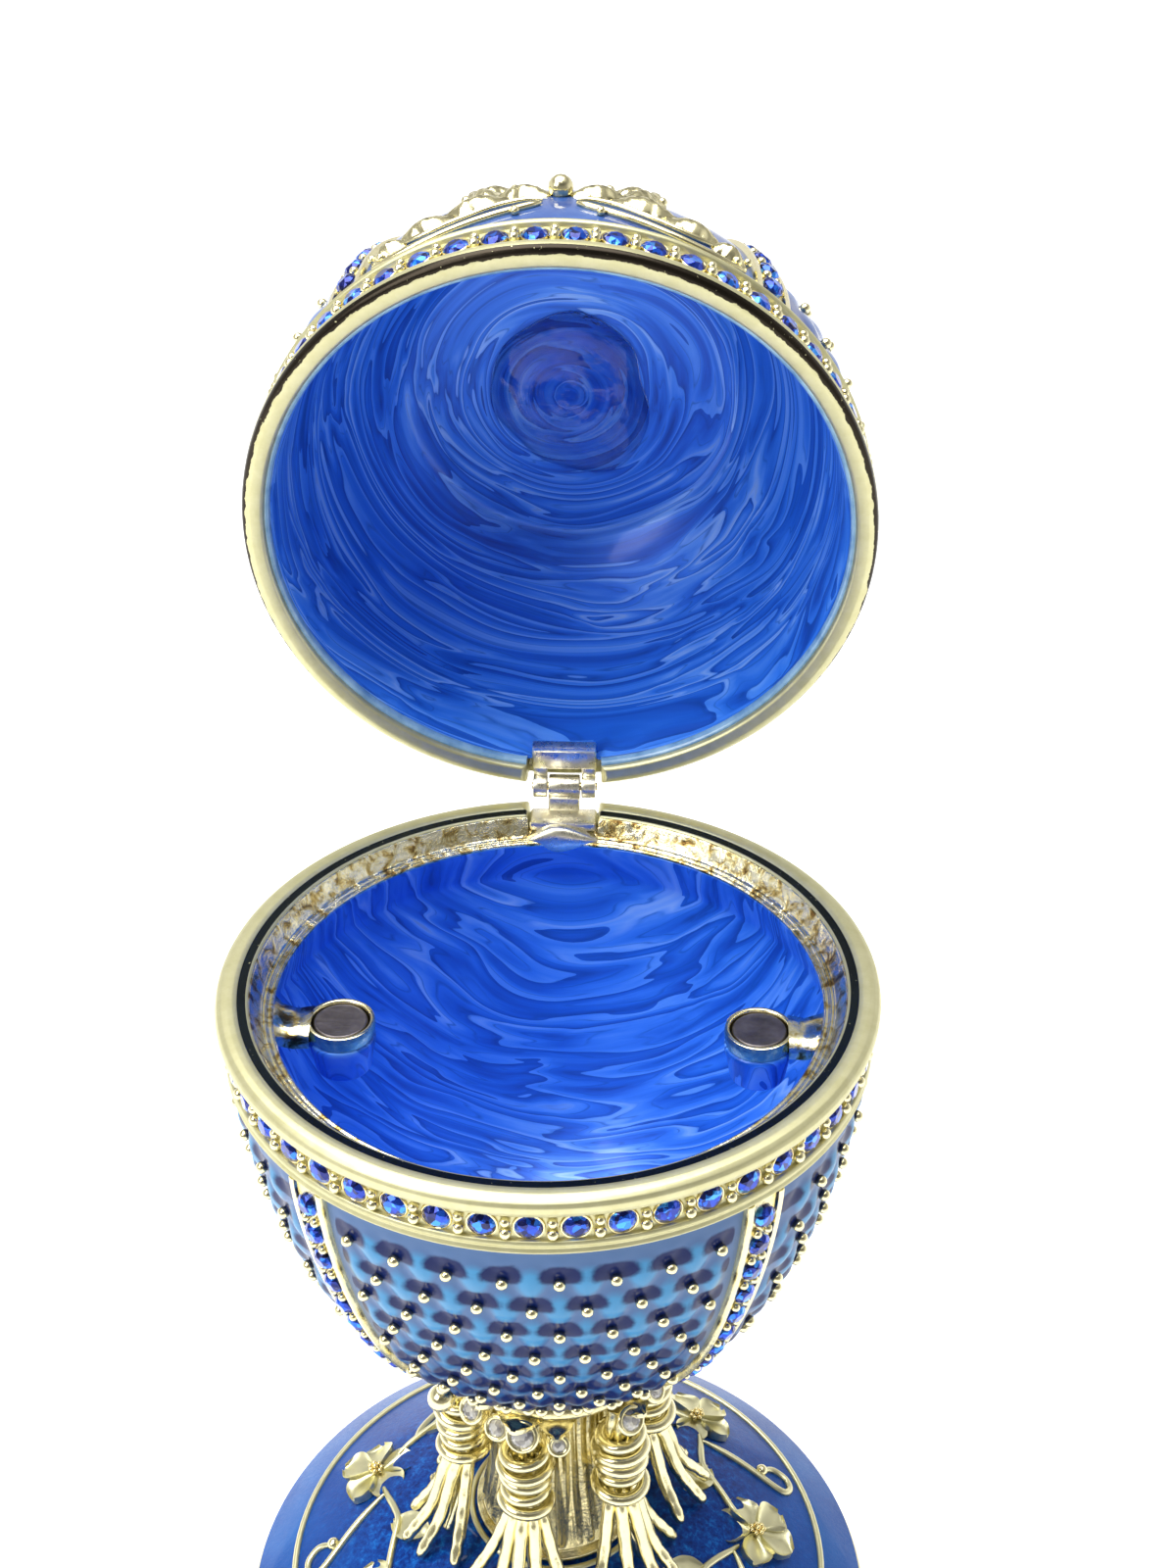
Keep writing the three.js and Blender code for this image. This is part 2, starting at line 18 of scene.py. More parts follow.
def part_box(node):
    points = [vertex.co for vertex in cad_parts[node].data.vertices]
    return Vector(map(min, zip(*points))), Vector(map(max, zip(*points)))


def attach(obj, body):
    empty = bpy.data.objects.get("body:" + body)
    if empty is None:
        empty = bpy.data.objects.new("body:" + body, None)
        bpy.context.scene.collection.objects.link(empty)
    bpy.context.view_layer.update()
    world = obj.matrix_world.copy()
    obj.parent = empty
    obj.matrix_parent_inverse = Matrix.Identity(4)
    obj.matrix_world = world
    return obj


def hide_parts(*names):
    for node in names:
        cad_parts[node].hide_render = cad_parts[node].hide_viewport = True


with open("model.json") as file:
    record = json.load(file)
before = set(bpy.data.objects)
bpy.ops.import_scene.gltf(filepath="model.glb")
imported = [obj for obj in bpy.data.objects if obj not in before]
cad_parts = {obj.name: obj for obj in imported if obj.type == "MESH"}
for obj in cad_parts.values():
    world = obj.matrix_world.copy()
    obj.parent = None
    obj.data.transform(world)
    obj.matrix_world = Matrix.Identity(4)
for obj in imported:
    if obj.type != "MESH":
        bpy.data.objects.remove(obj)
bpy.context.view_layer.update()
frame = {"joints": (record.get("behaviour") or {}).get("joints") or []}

MM = 0.001
SEED = 7
log = logging.getLogger("egg_box")

Point2 = tuple[float, float]
Color = tuple[float, float, float]


# Driving sizes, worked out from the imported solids

def millimetres(corners: tuple[Vector, Vector]) -> tuple[Vector, Vector]:
    """Gives a node's box in millimetres."""
    return corners[0] / MM, corners[1] / MM


@dataclass(frozen=True)
class EggSizes:
    """Sizes that several sub-assemblies share."""

    lip_height: float = 0.75
    seat_z: float = millimetres(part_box("bowl"))[1].z - lip_height
    stem_top_z: float = millimetres(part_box("stem"))[1].z
    base_radius: float = millimetres(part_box("base"))[1].x
    base_top_z: float = millimetres(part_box("base"))[1].z
    wall: float = 2.6
    rib_azimuths: tuple[float, ...] = (41.0, 139.0, -139.0, -41.0)
    rib_half_width: float = 2.4
    bead_pitch: float = 9.35
    row_pitch: float = 4.45
    hinge: Vector = field(default_factory=lambda: Vector(frame["joints"][0]["pos_m"]) / MM)
    open_degrees: float = max(frame["joints"][0]["range_deg"])

    def lid_turn(self) -> Matrix:
        """Returns the matrix that turns the shut lid to where it stands open."""
        turn = Matrix.Rotation(math.radians(-self.open_degrees), 4, "X")
        return Matrix.Translation(self.hinge) @ turn @ Matrix.Translation(-self.hinge)


SIZES = EggSizes()


class Body(Enum):
    """The two bodies that the hinge joins."""

    STAND = "stand"
    LID = "lid"


class Slot(Enum):
    """The record's material slots."""

    GOLD = "gold"
    BLUE = "blue_enamel"
    TEAL = "teal_enamel"
    LAVENDER = "lavender_enamel"
    LINING = "inner_enamel"
    SAPPHIRE = "sapphire"
    CRYSTAL = "crystal"
    MAGNET = "magnet_metal"


# Finishes

class NodeBench:
    """Short calls that lay out the nodes of one tree."""

    def __init__(self, tree: bpy.types.NodeTree) -> None:
        """Takes the tree that it works on."""
        self.tree = tree

    def add(self, kind: str, inputs: dict | None = None, **settings: object) -> bpy.types.Node:
        """Adds a node and fills its inputs.

        Args:
            kind: the node's type name.
            inputs: values or sockets by input name or number.
            **settings: the node's own properties.

        Returns:
            The new node.
        """
        node = self.tree.nodes.new(kind)
        for key, value in settings.items():
            setattr(node, key, value)
        for key, value in (inputs or {}).items():
            self.feed(node.inputs[key], value)
        return node

    def feed(self, socket: bpy.types.NodeSocket, value: object) -> None:
        """Links a socket to another, or sets its value.

        Args:
            socket: the input to fill.
            value: an output socket, or a number, colour or vector.
        """
        if isinstance(value, bpy.types.NodeSocket):
            self.tree.links.new(value, socket)
        elif isinstance(value, tuple) and len(value) == 3 and socket.type == "RGBA":
            socket.default_value = (*value, 1.0)
        else:
            socket.default_value = value

    def place(self, stretch: tuple[float, float, float] = (1.0, 1.0, 1.0)) -> bpy.types.NodeSocket:
        """Gives the place on the piece in millimetres, from its Object coordinates.

        Args:
            stretch: extra scale along each axis.

        Returns:
            A vector socket.
        """
        source = self.add("ShaderNodeTexCoord").outputs["Object"]
        scale = tuple(value / MM for value in stretch)
        return self.add("ShaderNodeMapping", {"Vector": source, "Scale": scale}).outputs[0]

    def stored(self, name: str, output: str = "Fac") -> bpy.types.NodeSocket:
        """Gives a value that the piece's mesh carries."""
        return self.add("ShaderNodeAttribute", attribute_name=name).outputs[output]

    def stretched(self, vector: bpy.types.NodeSocket, scale: tuple) -> bpy.types.NodeSocket:
        """Scales a vector along each axis."""
        return self.add("ShaderNodeMapping", {"Vector": vector, "Scale": scale}).outputs[0]

    def noise(self, vector: bpy.types.NodeSocket, scale: float, detail: float = 4.0,
              roughness: float = 0.5, distortion: float = 0.0,
              output: str = "Fac") -> bpy.types.NodeSocket:
        """Adds a noise texture."""
        node = self.add("ShaderNodeTexNoise", {
            "Vector": vector, "Scale": scale, "Detail": detail, "Roughness": roughness,
            "Distortion": distortion})
        return node.outputs[output]

    def cells(self, vector: bpy.types.NodeSocket, scale: float, output: str = "Distance",
              feature: str = "F1") -> bpy.types.NodeSocket:
        """Adds a cell texture."""
        node = self.add("ShaderNodeTexVoronoi", {"Vector": vector, "Scale": scale},
                        feature=feature)
        return node.outputs[output]

    def calc(self, operation: str, first: object, second: object = 0.0,
             clamp: bool = False) -> bpy.types.NodeSocket:
        """Adds a math node."""
        node = self.add("ShaderNodeMath", {0: first, 1: second}, operation=operation,
                        use_clamp=clamp)
        return node.outputs[0]

    def spread(self, value: bpy.types.NodeSocket, low: float, high: float,
               to_low: float = 0.0, to_high: float = 1.0) -> bpy.types.NodeSocket:
        """Maps a range smoothly onto another."""
        node = self.add("ShaderNodeMapRange", {
            "Value": value, "From Min": low, "From Max": high, "To Min": to_low,
            "To Max": to_high}, interpolation_type="SMOOTHSTEP")
        return node.outputs["Result"]

    def ramp(self, factor: bpy.types.NodeSocket,
             stops: list[tuple[float, Color]]) -> bpy.types.NodeSocket:
        """Adds a colour ramp.

        Args:
            factor: what it reads.
            stops: places from 0 to 1 with their colours.

        Returns:
            The colour.
        """
        node = self.add("ShaderNodeValToRGB", {"Fac": factor})
        band = node.color_ramp
        while len(band.elements) < len(stops):
            band.elements.new(0.5)
        for element, (position, color) in zip(band.elements, stops):
            element.position = position
            element.color = (*color, 1.0)
        return node.outputs["Color"]

    def mix(self, factor: object, first: object, second: object,
            mode: str = "MIX") -> bpy.types.NodeSocket:
        """Mixes two colours.

        Args:
            factor: share of the second.
            first: first colour or socket.
            second: second colour or socket.
            mode: the blend mode.

        Returns:
            The mixed colour.
        """
        node = self.add("ShaderNodeMix", data_type="RGBA", blend_type=mode)
        for socket, value in zip((node.inputs[0], node.inputs[6], node.inputs[7]),
                                 (factor, first, second)):
            self.feed(socket, value)
        return node.outputs[2]

    def bump(self, height: bpy.types.NodeSocket, depth: float,
             strength: float = 1.0) -> bpy.types.NodeSocket:
        """Adds a bump node."""
        return self.add("ShaderNodeBump", {
            "Height": height, "Distance": depth * MM, "Strength": strength}).outputs[0]

    def split(self, vector: bpy.types.NodeSocket) -> bpy.types.NodeOutputs:
        """Gives a vector's three parts, by name."""
        return self.add("ShaderNodeSeparateXYZ", {0: vector}).outputs

    def radius(self, place: bpy.types.NodeSocket) -> bpy.types.NodeSocket:
        """Gives a place's distance from the upright axis."""
        flat = self.stretched(place, (1.0, 1.0, 0.0))
        return self.add("ShaderNodeVectorMath", {0: flat}, operation="LENGTH").outputs["Value"]


class ShaderBench(NodeBench):
    """A bench for the nodes of one material."""

    def __init__(self, name: str) -> None:
        """Starts a material of the given name."""
        self.material = bpy.data.materials.new(name)
        self.material.use_nodes = True
        super().__init__(self.material.node_tree)
        self.shader = self.tree.nodes["Principled BSDF"]

    def dress(self, **values: object) -> bpy.types.Material:
        """Fills the main shader's inputs, by name with underscores for spaces."""
        for key, value in values.items():
            self.feed(self.shader.inputs[key.replace("_", " ")], value)
        return self.material


def scaled(color: Color, factor: float) -> Color:
    """Makes a colour lighter or darker."""
    return tuple(factor * value for value in color)


class Finish:
    """A finish, made as a material the first time a piece asks for it."""

    name: str

    def material(self) -> bpy.types.Material:
        """Returns the finish's material."""
        return bpy.data.materials.get(self.name) or self.build(ShaderBench(self.name))

    def build(self, bench: ShaderBench) -> bpy.types.Material:
        """Lays out the nodes."""
        raise NotImplementedError


@dataclass(frozen=True)
class Gold(Finish):
    """Pale gold plating on a casting, with amber hollows and a slightly wavy skin."""

    name: str = "gold_polished"
    tone: Color = (0.88, 0.80, 0.47)
    deep: Color = (0.62, 0.47, 0.17)
    roughness: float = 0.12
    waviness: float = 0.05
    pits: float = 0.0

    def build(self, bench: ShaderBench) -> bpy.types.Material:
        """Lays out the nodes and returns the material."""
        place = bench.place()
        broad = bench.noise(place, 0.16, 3.0, 0.55)
        fine = bench.noise(place, 1.3, 6.0, 0.62)
        stain = bench.spread(fine, 0.52, 0.78)
        tone = bench.ramp(broad, [
            (0.3, scaled(self.tone, 0.9)), (0.7, self.tone)])
        color = bench.mix(bench.calc("MULTIPLY", stain, 0.35 + self.pits), tone, self.deep)
        relief = bench.calc("ADD", bench.calc("MULTIPLY", fine, 0.5 + self.pits), broad)
        gloss = bench.spread(fine, 0.3, 0.8, self.roughness, self.roughness + 0.16)
        return bench.dress(
            Base_Color=color, Metallic=1.0, Roughness=gloss,
            Normal=bench.bump(relief, self.waviness))


@dataclass(frozen=True)
class CastGold(Finish):
    """Gold left rough from the mould, dark in its pits."""

    name: str = "gold_rough_cast"

    def build(self, bench: ShaderBench) -> bpy.types.Material:
        """Lays out the nodes and returns the material."""
        own = bench.stored("own", "Vector")
        behind = bench.spread(bench.split(own)["Y"], -4.0, 16.0, 0.25, 1.0)
        lumps = bench.noise(own, 0.55, 6.0, 0.62, 0.6)
        pits = bench.spread(lumps, 0.34, 0.6)
        color = bench.ramp(pits, [
            (0.0, (0.20, 0.11, 0.03)), (0.3, (0.62, 0.47, 0.17)),
            (0.65, (0.88, 0.79, 0.46)), (1.0, (0.96, 0.92, 0.70))])
        return bench.dress(
            Base_Color=color, Metallic=1.0, Roughness=bench.spread(lumps, 0.3, 0.7, 0.24, 0.10),
            Normal=bench.bump(bench.calc("MULTIPLY", lumps, behind), 0.26))


@dataclass(frozen=True)
class BandedGold(Finish):
    """Satin gold with a dark, mirror-smooth band round it, ragged on its inner side; the band's
    dark colour is a painted reflection.

    The band lies between two radii. Its inner edge moves outwards by a given amount from the front
    of the egg to the back.
    """

    name: str
    inner: float
    outer: float
    narrowing: float
    wander: float
    lowest: float
    highest: float
    # Colour of the painted reflection in the band.
    dark: Color = (0.022, 0.017, 0.011)

    def build(self, bench: ShaderBench) -> bpy.types.Material:
        """Lays out the nodes and returns the material."""
        own = bench.stored("own", "Vector")
        radius = bench.radius(own)
        parts = bench.split(own)
        back = bench.calc("ADD", bench.calc("DIVIDE", parts["Y"], radius), 1.0)
        drift = bench.noise(own, 0.6, 5.0, 0.62)
        ragged = bench.calc("MULTIPLY", bench.calc("SUBTRACT", drift, 0.5), self.wander)
        shift = bench.calc("MULTIPLY", back, -self.narrowing)
        moved = bench.calc("ADD", bench.calc("ADD", radius, ragged), shift)
        soft = 0.035
        inside = bench.spread(moved, self.inner - soft, self.inner + soft)
        outside = bench.spread(radius, self.outer + soft, self.outer - soft)
        above = bench.calc("GREATER_THAN", parts["Z"], self.lowest)
        below = bench.calc("LESS_THAN", parts["Z"], self.highest)
        band = bench.calc("MULTIPLY", bench.calc("MULTIPLY", inside, outside),
                          bench.calc("MULTIPLY", above, below))
        specks = bench.spread(bench.noise(own, 2.2, 3.0, 0.6), 0.68, 0.73)
        band = bench.calc("MULTIPLY", band, bench.calc("SUBTRACT", 1.0, specks))
        # Painted reflection: the band is coloured dark, standing in for dark surroundings mirrored
        # in the polished rim.
        painted_reflection = bench.ramp(bench.noise(own, 0.12, 2.0), [
            (0.35, self.dark), (0.65, scaled(self.dark, 1.5))])
        tone = bench.ramp(drift, [(0.3, (0.55, 0.52, 0.28)), (0.7, (0.63, 0.60, 0.36))])
        return bench.dress(
            Base_Color=bench.mix(band, tone, painted_reflection), Metallic=0.85,
            Roughness=bench.spread(band, 0.0, 1.0, 0.40, 0.26),
            Normal=bench.bump(drift, 0.02))


@dataclass(frozen=True)
class QuiltEnamel(Finish):
    """Glossy enamel over a tufted casting, darker towards the foot, with a painted reflection of
    bright surroundings on the swells and a painted dark reflection round the beads.
    """

    name: str
    ground: Color
    # Colour of the swells' tops, painted paler as a reflection of bright surroundings.
    swell: Color
    # Colour of the painted dark reflection round the beads.
    pool: Color
    low: Color
    start: float
    reach: float

    def build(self, bench: ShaderBench) -> bpy.types.Material:
        """Lays out the nodes and returns the material."""
        own = bench.stored("own", "Vector")
        lift = bench.stored("lift")
        flow = bench.stored("flow")
        painted_halo = bench.stored("painted_halo")
        cloud = bench.calc("SUBTRACT", bench.noise(own, 0.3, 4.0, 0.55, 0.4), 0.5)
        # Painted reflection: the tops of the swells are coloured paler.
        top = bench.calc("ADD", lift, bench.calc("MULTIPLY", cloud, 0.5))
        color = bench.ramp(top, [
            (0.20, self.ground),
            (0.46, tuple(0.45 * a + 0.55 * b for a, b in zip(self.ground, self.swell))),
            (0.62, self.swell)])
        fade = bench.spread(flow, self.start, self.reach)
        color = bench.mix(bench.calc("MULTIPLY", fade, 0.8), color, self.low)
        # Painted dark reflection: each bead gets a dark patch round it.
        depth = bench.spread(bench.calc("ADD", painted_halo, bench.calc("MULTIPLY", cloud, 0.5)),
                             0.24, 0.50)
        color = bench.mix(depth, color, self.pool)
        return bench.dress(
            Base_Color=color, Specular_IOR_Level=0.06,
            Roughness=bench.spread(cloud, -0.2, 0.2, 0.5, 0.4),
            Coat_Weight=0.45, Coat_Roughness=0.012, Coat_IOR=1.32)


@dataclass(frozen=True)
class HammeredEnamel(Finish):
    """Deep translucent blue over hammered metal, paler on the outer slope of the dome: partly its
    own enamel, partly a painted reflection of white seen there at a grazing angle.
    """

    name: str = "enamel_hammered_blue"
    line_radius: float = 33.6

    def build(self, bench: ShaderBench) -> bpy.types.Material:
        """Lays out the nodes and returns the material."""
        own = bench.stored("own", "Vector")
        radius = bench.radius(own)
        dents = bench.cells(own, 1.15, "Distance", "SMOOTH_F1")
        grain = bench.noise(own, 2.4, 5.0, 0.65, 0.5)
        cloud = bench.noise(own, 0.11, 3.0, 0.5)
        sparkle = bench.calc("ADD", bench.calc("MULTIPLY", grain, 0.75),
                             bench.calc("MULTIPLY", dents, 0.35))
        deep = bench.ramp(sparkle, [
            (0.36, (0.002, 0.020, 0.15)), (0.55, (0.003, 0.050, 0.30)),
            (0.70, (0.008, 0.14, 0.52)), (0.9, (0.06, 0.38, 0.82))])
        calm = bench.ramp(cloud, [(0.3, (0.004, 0.045, 0.25)), (0.7, (0.010, 0.085, 0.36))])
        inner = bench.mix(bench.spread(radius, 20.0, 31.0, 0.0, 0.8), deep, calm)
        # Outer zone: its own enamel, made paler by a painted reflection of white at a grazing
        # angle.
        outer = bench.ramp(cloud, [(0.3, (0.006, 0.066, 0.30)), (0.7, (0.020, 0.12, 0.40))])
        zone = bench.calc("GREATER_THAN", radius, self.line_radius)
        color = bench.mix(zone, inner, outer)
        return bench.dress(
            Base_Color=color, Metallic=0.2,
            Roughness=bench.spread(grain, 0.3, 0.7, 0.34, 0.5), Specular_IOR_Level=0.06,
            Coat_Weight=0.45, Coat_Roughness=0.02, Coat_IOR=1.32,
            Normal=bench.bump(sparkle, 0.12, 0.6))


class Drag(Enum):
    """Which way a marbled enamel was dragged."""

    ACROSS = "across"
    AROUND = "around"


@dataclass(frozen=True)
class MarbledEnamel(Finish):
    """Pearly enamel dragged while wet, so that it lies in long threads with folded ends."""

    name: str
    drag: Drag
    shift: float
    layers: float = 7.0
    lean: float = 0.35

    def pulled(self, bench: ShaderBench, place: bpy.types.NodeSocket, long: float, short: float,
               pull: float, push: float) -> bpy.types.NodeSocket:
        """Drags a place along the threads, by an amount that changes fast across them.

        Args:
            bench: the bench.
            place: the place to drag.
            long: how far the drag stays alike along the threads.
            short: how far it stays alike across them.
            pull: the drag along the threads, in millimetres or radians.
            push: the drag across them, in millimetres.

        Returns:
            The dragged place.
        """
        if self.drag is Drag.ACROSS:
            scale = (1 / long, 1 / short, 1 / long)
            amount = (pull, push, 0.0)
        else:
            scale = (1 / long, 1 / long, 1 / short)
            amount = (0.0, 0.0, push)
        field_color = bench.noise(bench.stretched(place, scale), 1.0, 1.0, 0.4, 0.0, "Color")
        centred = bench.add("ShaderNodeVectorMath", {0: field_color, 1: (0.5, 0.5, 0.5)},
                            operation="SUBTRACT").outputs[0]
        moved = bench.add("ShaderNodeVectorMath", {0: centred, 1: amount, 2: place},
                          operation="MULTIPLY_ADD").outputs[0]
        if self.drag is Drag.ACROSS:
            return moved
        turn = bench.split(centred)["X"]
        return bench.add("ShaderNodeVectorRotate", {
            "Vector": moved, "Center": (self.shift, self.shift, 0.0),
            "Angle": bench.calc("MULTIPLY", turn, pull)},
            rotation_type="Z_AXIS").outputs[0]

    def build(self, bench: ShaderBench) -> bpy.types.Material:
        """Lays out the nodes and returns the material."""
        own = bench.stored("own", "Vector")
        place = bench.add("ShaderNodeVectorMath", {0: own, 1: (self.shift,) * 3},
                          operation="ADD").outputs[0]
        across = self.drag is Drag.ACROSS
        parts = bench.split(place)
        second, third = parts["Y"], parts["Z"]
        if across:
            second = bench.calc("ADD", second, bench.calc("MULTIPLY", third, self.lean))
        else:
            third = bench.stored("flow")
        place = bench.add("ShaderNodeCombineXYZ", {
            0: parts["X"], 1: second, 2: third}).outputs[0]
        place = self.pulled(bench, place, 30.0, 11.0, 30.0 if across else 2.0, 7.0)
        place = self.pulled(bench, place, 16.0, 4.5, 16.0 if across else 0.9, 2.0)
        place = self.pulled(bench, place, 6.0, 1.6, 3.0 if across else 0.16, 0.4)
        long, short = 0.028, 0.36
        stretch = (long, short, long) if across else (long, long, short)
        where = bench.stretched(place, stretch)
        wide = bench.noise(where, 0.7, 2.0, 0.5)
        body = bench.noise(where, 1.0, 2.0, 0.42)
        fine = bench.noise(where, 5.0, 4.0, 0.6)
        layer = bench.calc("FRACT", bench.calc("MULTIPLY", body, self.layers))
        thin = bench.calc("FRACT", bench.calc("MULTIPLY", body, 2.7 * self.layers))
        slope = bench.spread(layer, 0.0, 1.0)
        pearl = bench.calc("ADD", bench.calc("MULTIPLY", slope, 0.26),
                           bench.calc("MULTIPLY", wide, 0.52))
        pearl = bench.calc("ADD", pearl, bench.calc("MULTIPLY", fine, 0.26))
        color = bench.ramp(pearl, [
            (0.28, (0.008, 0.072, 0.44)), (0.42, (0.016, 0.14, 0.66)),
            (0.54, (0.038, 0.22, 0.82)), (0.66, (0.11, 0.35, 0.92)),
            (0.82, (0.34, 0.58, 0.97))])
        fading = bench.spread(fine, 0.36, 0.58, 0.95, 0.15)
        edge = bench.calc("MULTIPLY", self.ridge(bench, layer, 0.06, 11.0), fading)
        color = bench.mix(edge, color, (0.006, 0.070, 0.38))
        hair = bench.calc("MULTIPLY", self.ridge(bench, thin, 0.10, 8.0),
                          bench.spread(fine, 0.38, 0.58, 0.1, 0.7))
        color = bench.mix(hair, color, (0.008, 0.090, 0.44))
        glint = bench.calc("MULTIPLY", self.ridge(bench, layer, 0.86, 9.0),
                           bench.spread(wide, 0.42, 0.62, 0.0, 0.55))
        color = bench.mix(glint, color, (0.40, 0.64, 0.96))
        return bench.dress(
            Base_Color=color, Metallic=0.2,
            Roughness=bench.spread(fine, 0.3, 0.7, 0.46, 0.34),
            Coat_Weight=0.35, Coat_Roughness=0.10, Coat_IOR=1.42)

    def ridge(self, bench: ShaderBench, value: bpy.types.NodeSocket, level: float,
              steepness: float) -> bpy.types.NodeSocket:
        """Gives 1 where a value passes a level, falling to 0 on both sides."""
        off = bench.calc("ABSOLUTE", bench.calc("SUBTRACT", value, level))
        return bench.calc("SUBTRACT", 1.0, bench.calc("MULTIPLY", off, steepness), clamp=True)


@dataclass(frozen=True)
class VaultEnamel(Finish):
    """Pearly lavender to royal blue enamel of the lid's outside, with the swells of the quilted
    side panels painted paler as a reflection of bright surroundings.
    """

    name: str = "enamel_lavender"

    def build(self, bench: ShaderBench) -> bpy.types.Material:
        """Lays out the nodes and returns the material."""
        own = bench.stored("own", "Vector")
        lift = bench.stored("lift")
        cloud = bench.noise(own, 0.13, 4.0, 0.55, 0.7)
        # Painted reflection: the stored lift makes the tops of the swells paler.
        depth = bench.calc("ADD", bench.calc("MULTIPLY", cloud, 0.8),
                           bench.calc("MULTIPLY", lift, 0.3))
        color = bench.ramp(depth, [
            (0.30, (0.010, 0.045, 0.22)), (0.48, (0.035, 0.10, 0.33)),
            (0.66, (0.10, 0.17, 0.42)), (0.82, (0.19, 0.26, 0.50))])
        return bench.dress(
            Base_Color=color, Specular_IOR_Level=0.2,
            Roughness=bench.spread(cloud, 0.3, 0.7, 0.5, 0.4),
            Coat_Weight=0.8, Coat_Roughness=0.015, Coat_IOR=1.45)


@dataclass(frozen=True)
class FoiledStone(Finish):
    """A cut stone over foil: its inside facets send back deep and bright patches."""

    name: str = "stone_sapphire"

    def build(self, bench: ShaderBench) -> bpy.types.Material:
        """Lays out the nodes and returns the material."""
        place = bench.place()
        facets = bench.cells(place, 1.5, "Color")
        pick = bench.add("ShaderNodeSeparateColor", {0: facets}).outputs["Red"]
        # Painted reflections: the deep and bright patches of the facets are painted into the base
        # colour.
        color = bench.ramp(pick, [
            (0.0, (0.001, 0.003, 0.06)), (0.34, (0.002, 0.014, 0.22)),
            (0.60, (0.003, 0.045, 0.50)), (0.84, (0.006, 0.13, 0.85)),
            (1.0, (0.05, 0.36, 1.0))])
        return bench.dress(
            Base_Color=color, Metallic=0.75, Roughness=0.10, Coat_Weight=0.6,
            Coat_Roughness=0.0, Coat_IOR=1.5)


@dataclass(frozen=True)
class ClearStone(Finish):
    """Clear cut crystal, its facets painted in grey to white patches as painted reflections."""

    name: str = "stone_crystal"

    def build(self, bench: ShaderBench) -> bpy.types.Material:
        """Lays out the nodes and returns the material."""
        place = bench.place()
        facets = bench.cells(place, 1.6, "Color")
        pick = bench.add("ShaderNodeSeparateColor", {0: facets}).outputs["Green"]
        # Painted reflections: grey to white patches over the facets.
        color = bench.ramp(pick, [
            (0.0, (0.30, 0.30, 0.36)), (0.45, (0.62, 0.62, 0.70)), (0.8, (0.95, 0.96, 1.0))])
        return bench.dress(
            Base_Color=color, Metallic=0.0, Roughness=0.03, Transmission_Weight=0.55, IOR=1.6,
            Coat_Weight=1.0, Coat_Roughness=0.0)


@dataclass(frozen=True)
class SetResin(Finish):
    """Clear hardened resin."""

    name: str = "resin_clear"

    def build(self, bench: ShaderBench) -> bpy.types.Material:
        """Lays out the nodes and returns the material."""
        ripple = bench.noise(bench.place(), 0.35, 3.0, 0.5, 0.6)
        tint = bench.ramp(ripple, [(0.3, (0.50, 0.68, 0.96)), (0.7, (0.72, 0.84, 1.0))])
        return bench.dress(
            Base_Color=tint, Roughness=0.02, Transmission_Weight=1.0, IOR=1.35,
            Normal=bench.bump(ripple, 0.25))


@dataclass(frozen=True)
class NickelMagnet(Finish):
    """Nickel-plated magnet with fine handling scratches."""

    name: str = "metal_magnet"
    tone: Color = (0.13, 0.115, 0.115)

    def build(self, bench: ShaderBench) -> bpy.types.Material:
        """Lays out the nodes and returns the material."""
        place = bench.place()
        scratches = bench.noise(bench.stretched(place, (0.3, 6.0, 1.0)), 1.0, 5.0, 0.7, 0.4)
        haze = bench.noise(place, 0.5, 4.0, 0.6)
        color = bench.ramp(haze, [(0.3, scaled(self.tone, 0.8)), (0.7, scaled(self.tone, 1.5))])
        return bench.dress(
            Base_Color=color, Metallic=1.0,
            Roughness=bench.spread(scratches, 0.3, 0.7, 0.28, 0.42),
            Normal=bench.bump(scratches, 0.01))


@dataclass(frozen=True)
class Tabletop(Finish):
    """Plain pale floor."""

    name: str = "floor_pale"

    def build(self, bench: ShaderBench) -> bpy.types.Material:
        """Lays out the nodes and returns the material."""
        mottle = bench.noise(bench.place(), 0.02, 2.0)
        color = bench.ramp(mottle, [(0.3, (0.93, 0.93, 0.93)), (0.7, (0.95, 0.95, 0.95))])
        return bench.dress(Base_Color=color, Roughness=0.7, Emission_Color=(1.0, 1.0, 1.0),
                           Emission_Strength=0.3)


@dataclass(frozen=True)
class EdgeEnamel(Finish):
    """Thin pale enamel where the lining creeps up to the gold."""

    name: str = "enamel_pale_edge"

    def build(self, bench: ShaderBench) -> bpy.types.Material:
        """Lays out the nodes and returns the material."""
        drift = bench.noise(bench.stored("own", "Vector"), 0.3, 4.0, 0.6)
        color = bench.ramp(drift, [(0.35, (0.12, 0.27, 0.45)), (0.65, (0.30, 0.50, 0.66))])
        return bench.dress(Base_Color=color, Roughness=0.3, Coat_Weight=1.0,
                           Coat_Roughness=0.03)


HINGE_METAL = Gold("gold_worn_hinge", (0.93, 0.88, 0.70), (0.66, 0.50, 0.30), 0.24, 0.05)
MENISCUS = EdgeEnamel()
POLISHED = Gold()
SATIN = Gold("gold_satin", (0.80, 0.76, 0.47), (0.66, 0.57, 0.28), 0.28, 0.02)
ANTIQUE = Gold("gold_antique", (0.84, 0.74, 0.40), (0.24, 0.15, 0.04), 0.15, 0.09, 0.35)
BRIGHT = Gold("gold_bright", (0.95, 0.80, 0.40), (0.80, 0.58, 0.20), 0.10, 0.02)
ROUGH = CastGold()
SAPPHIRE = FoiledStone()
CRYSTAL = ClearStone()


# Shapes

class Ends(Enum):
    """How a grid of rings is finished at its first and last ring."""

    LOOP = "loop"
    CAPS = "caps"
    POLES = "poles"


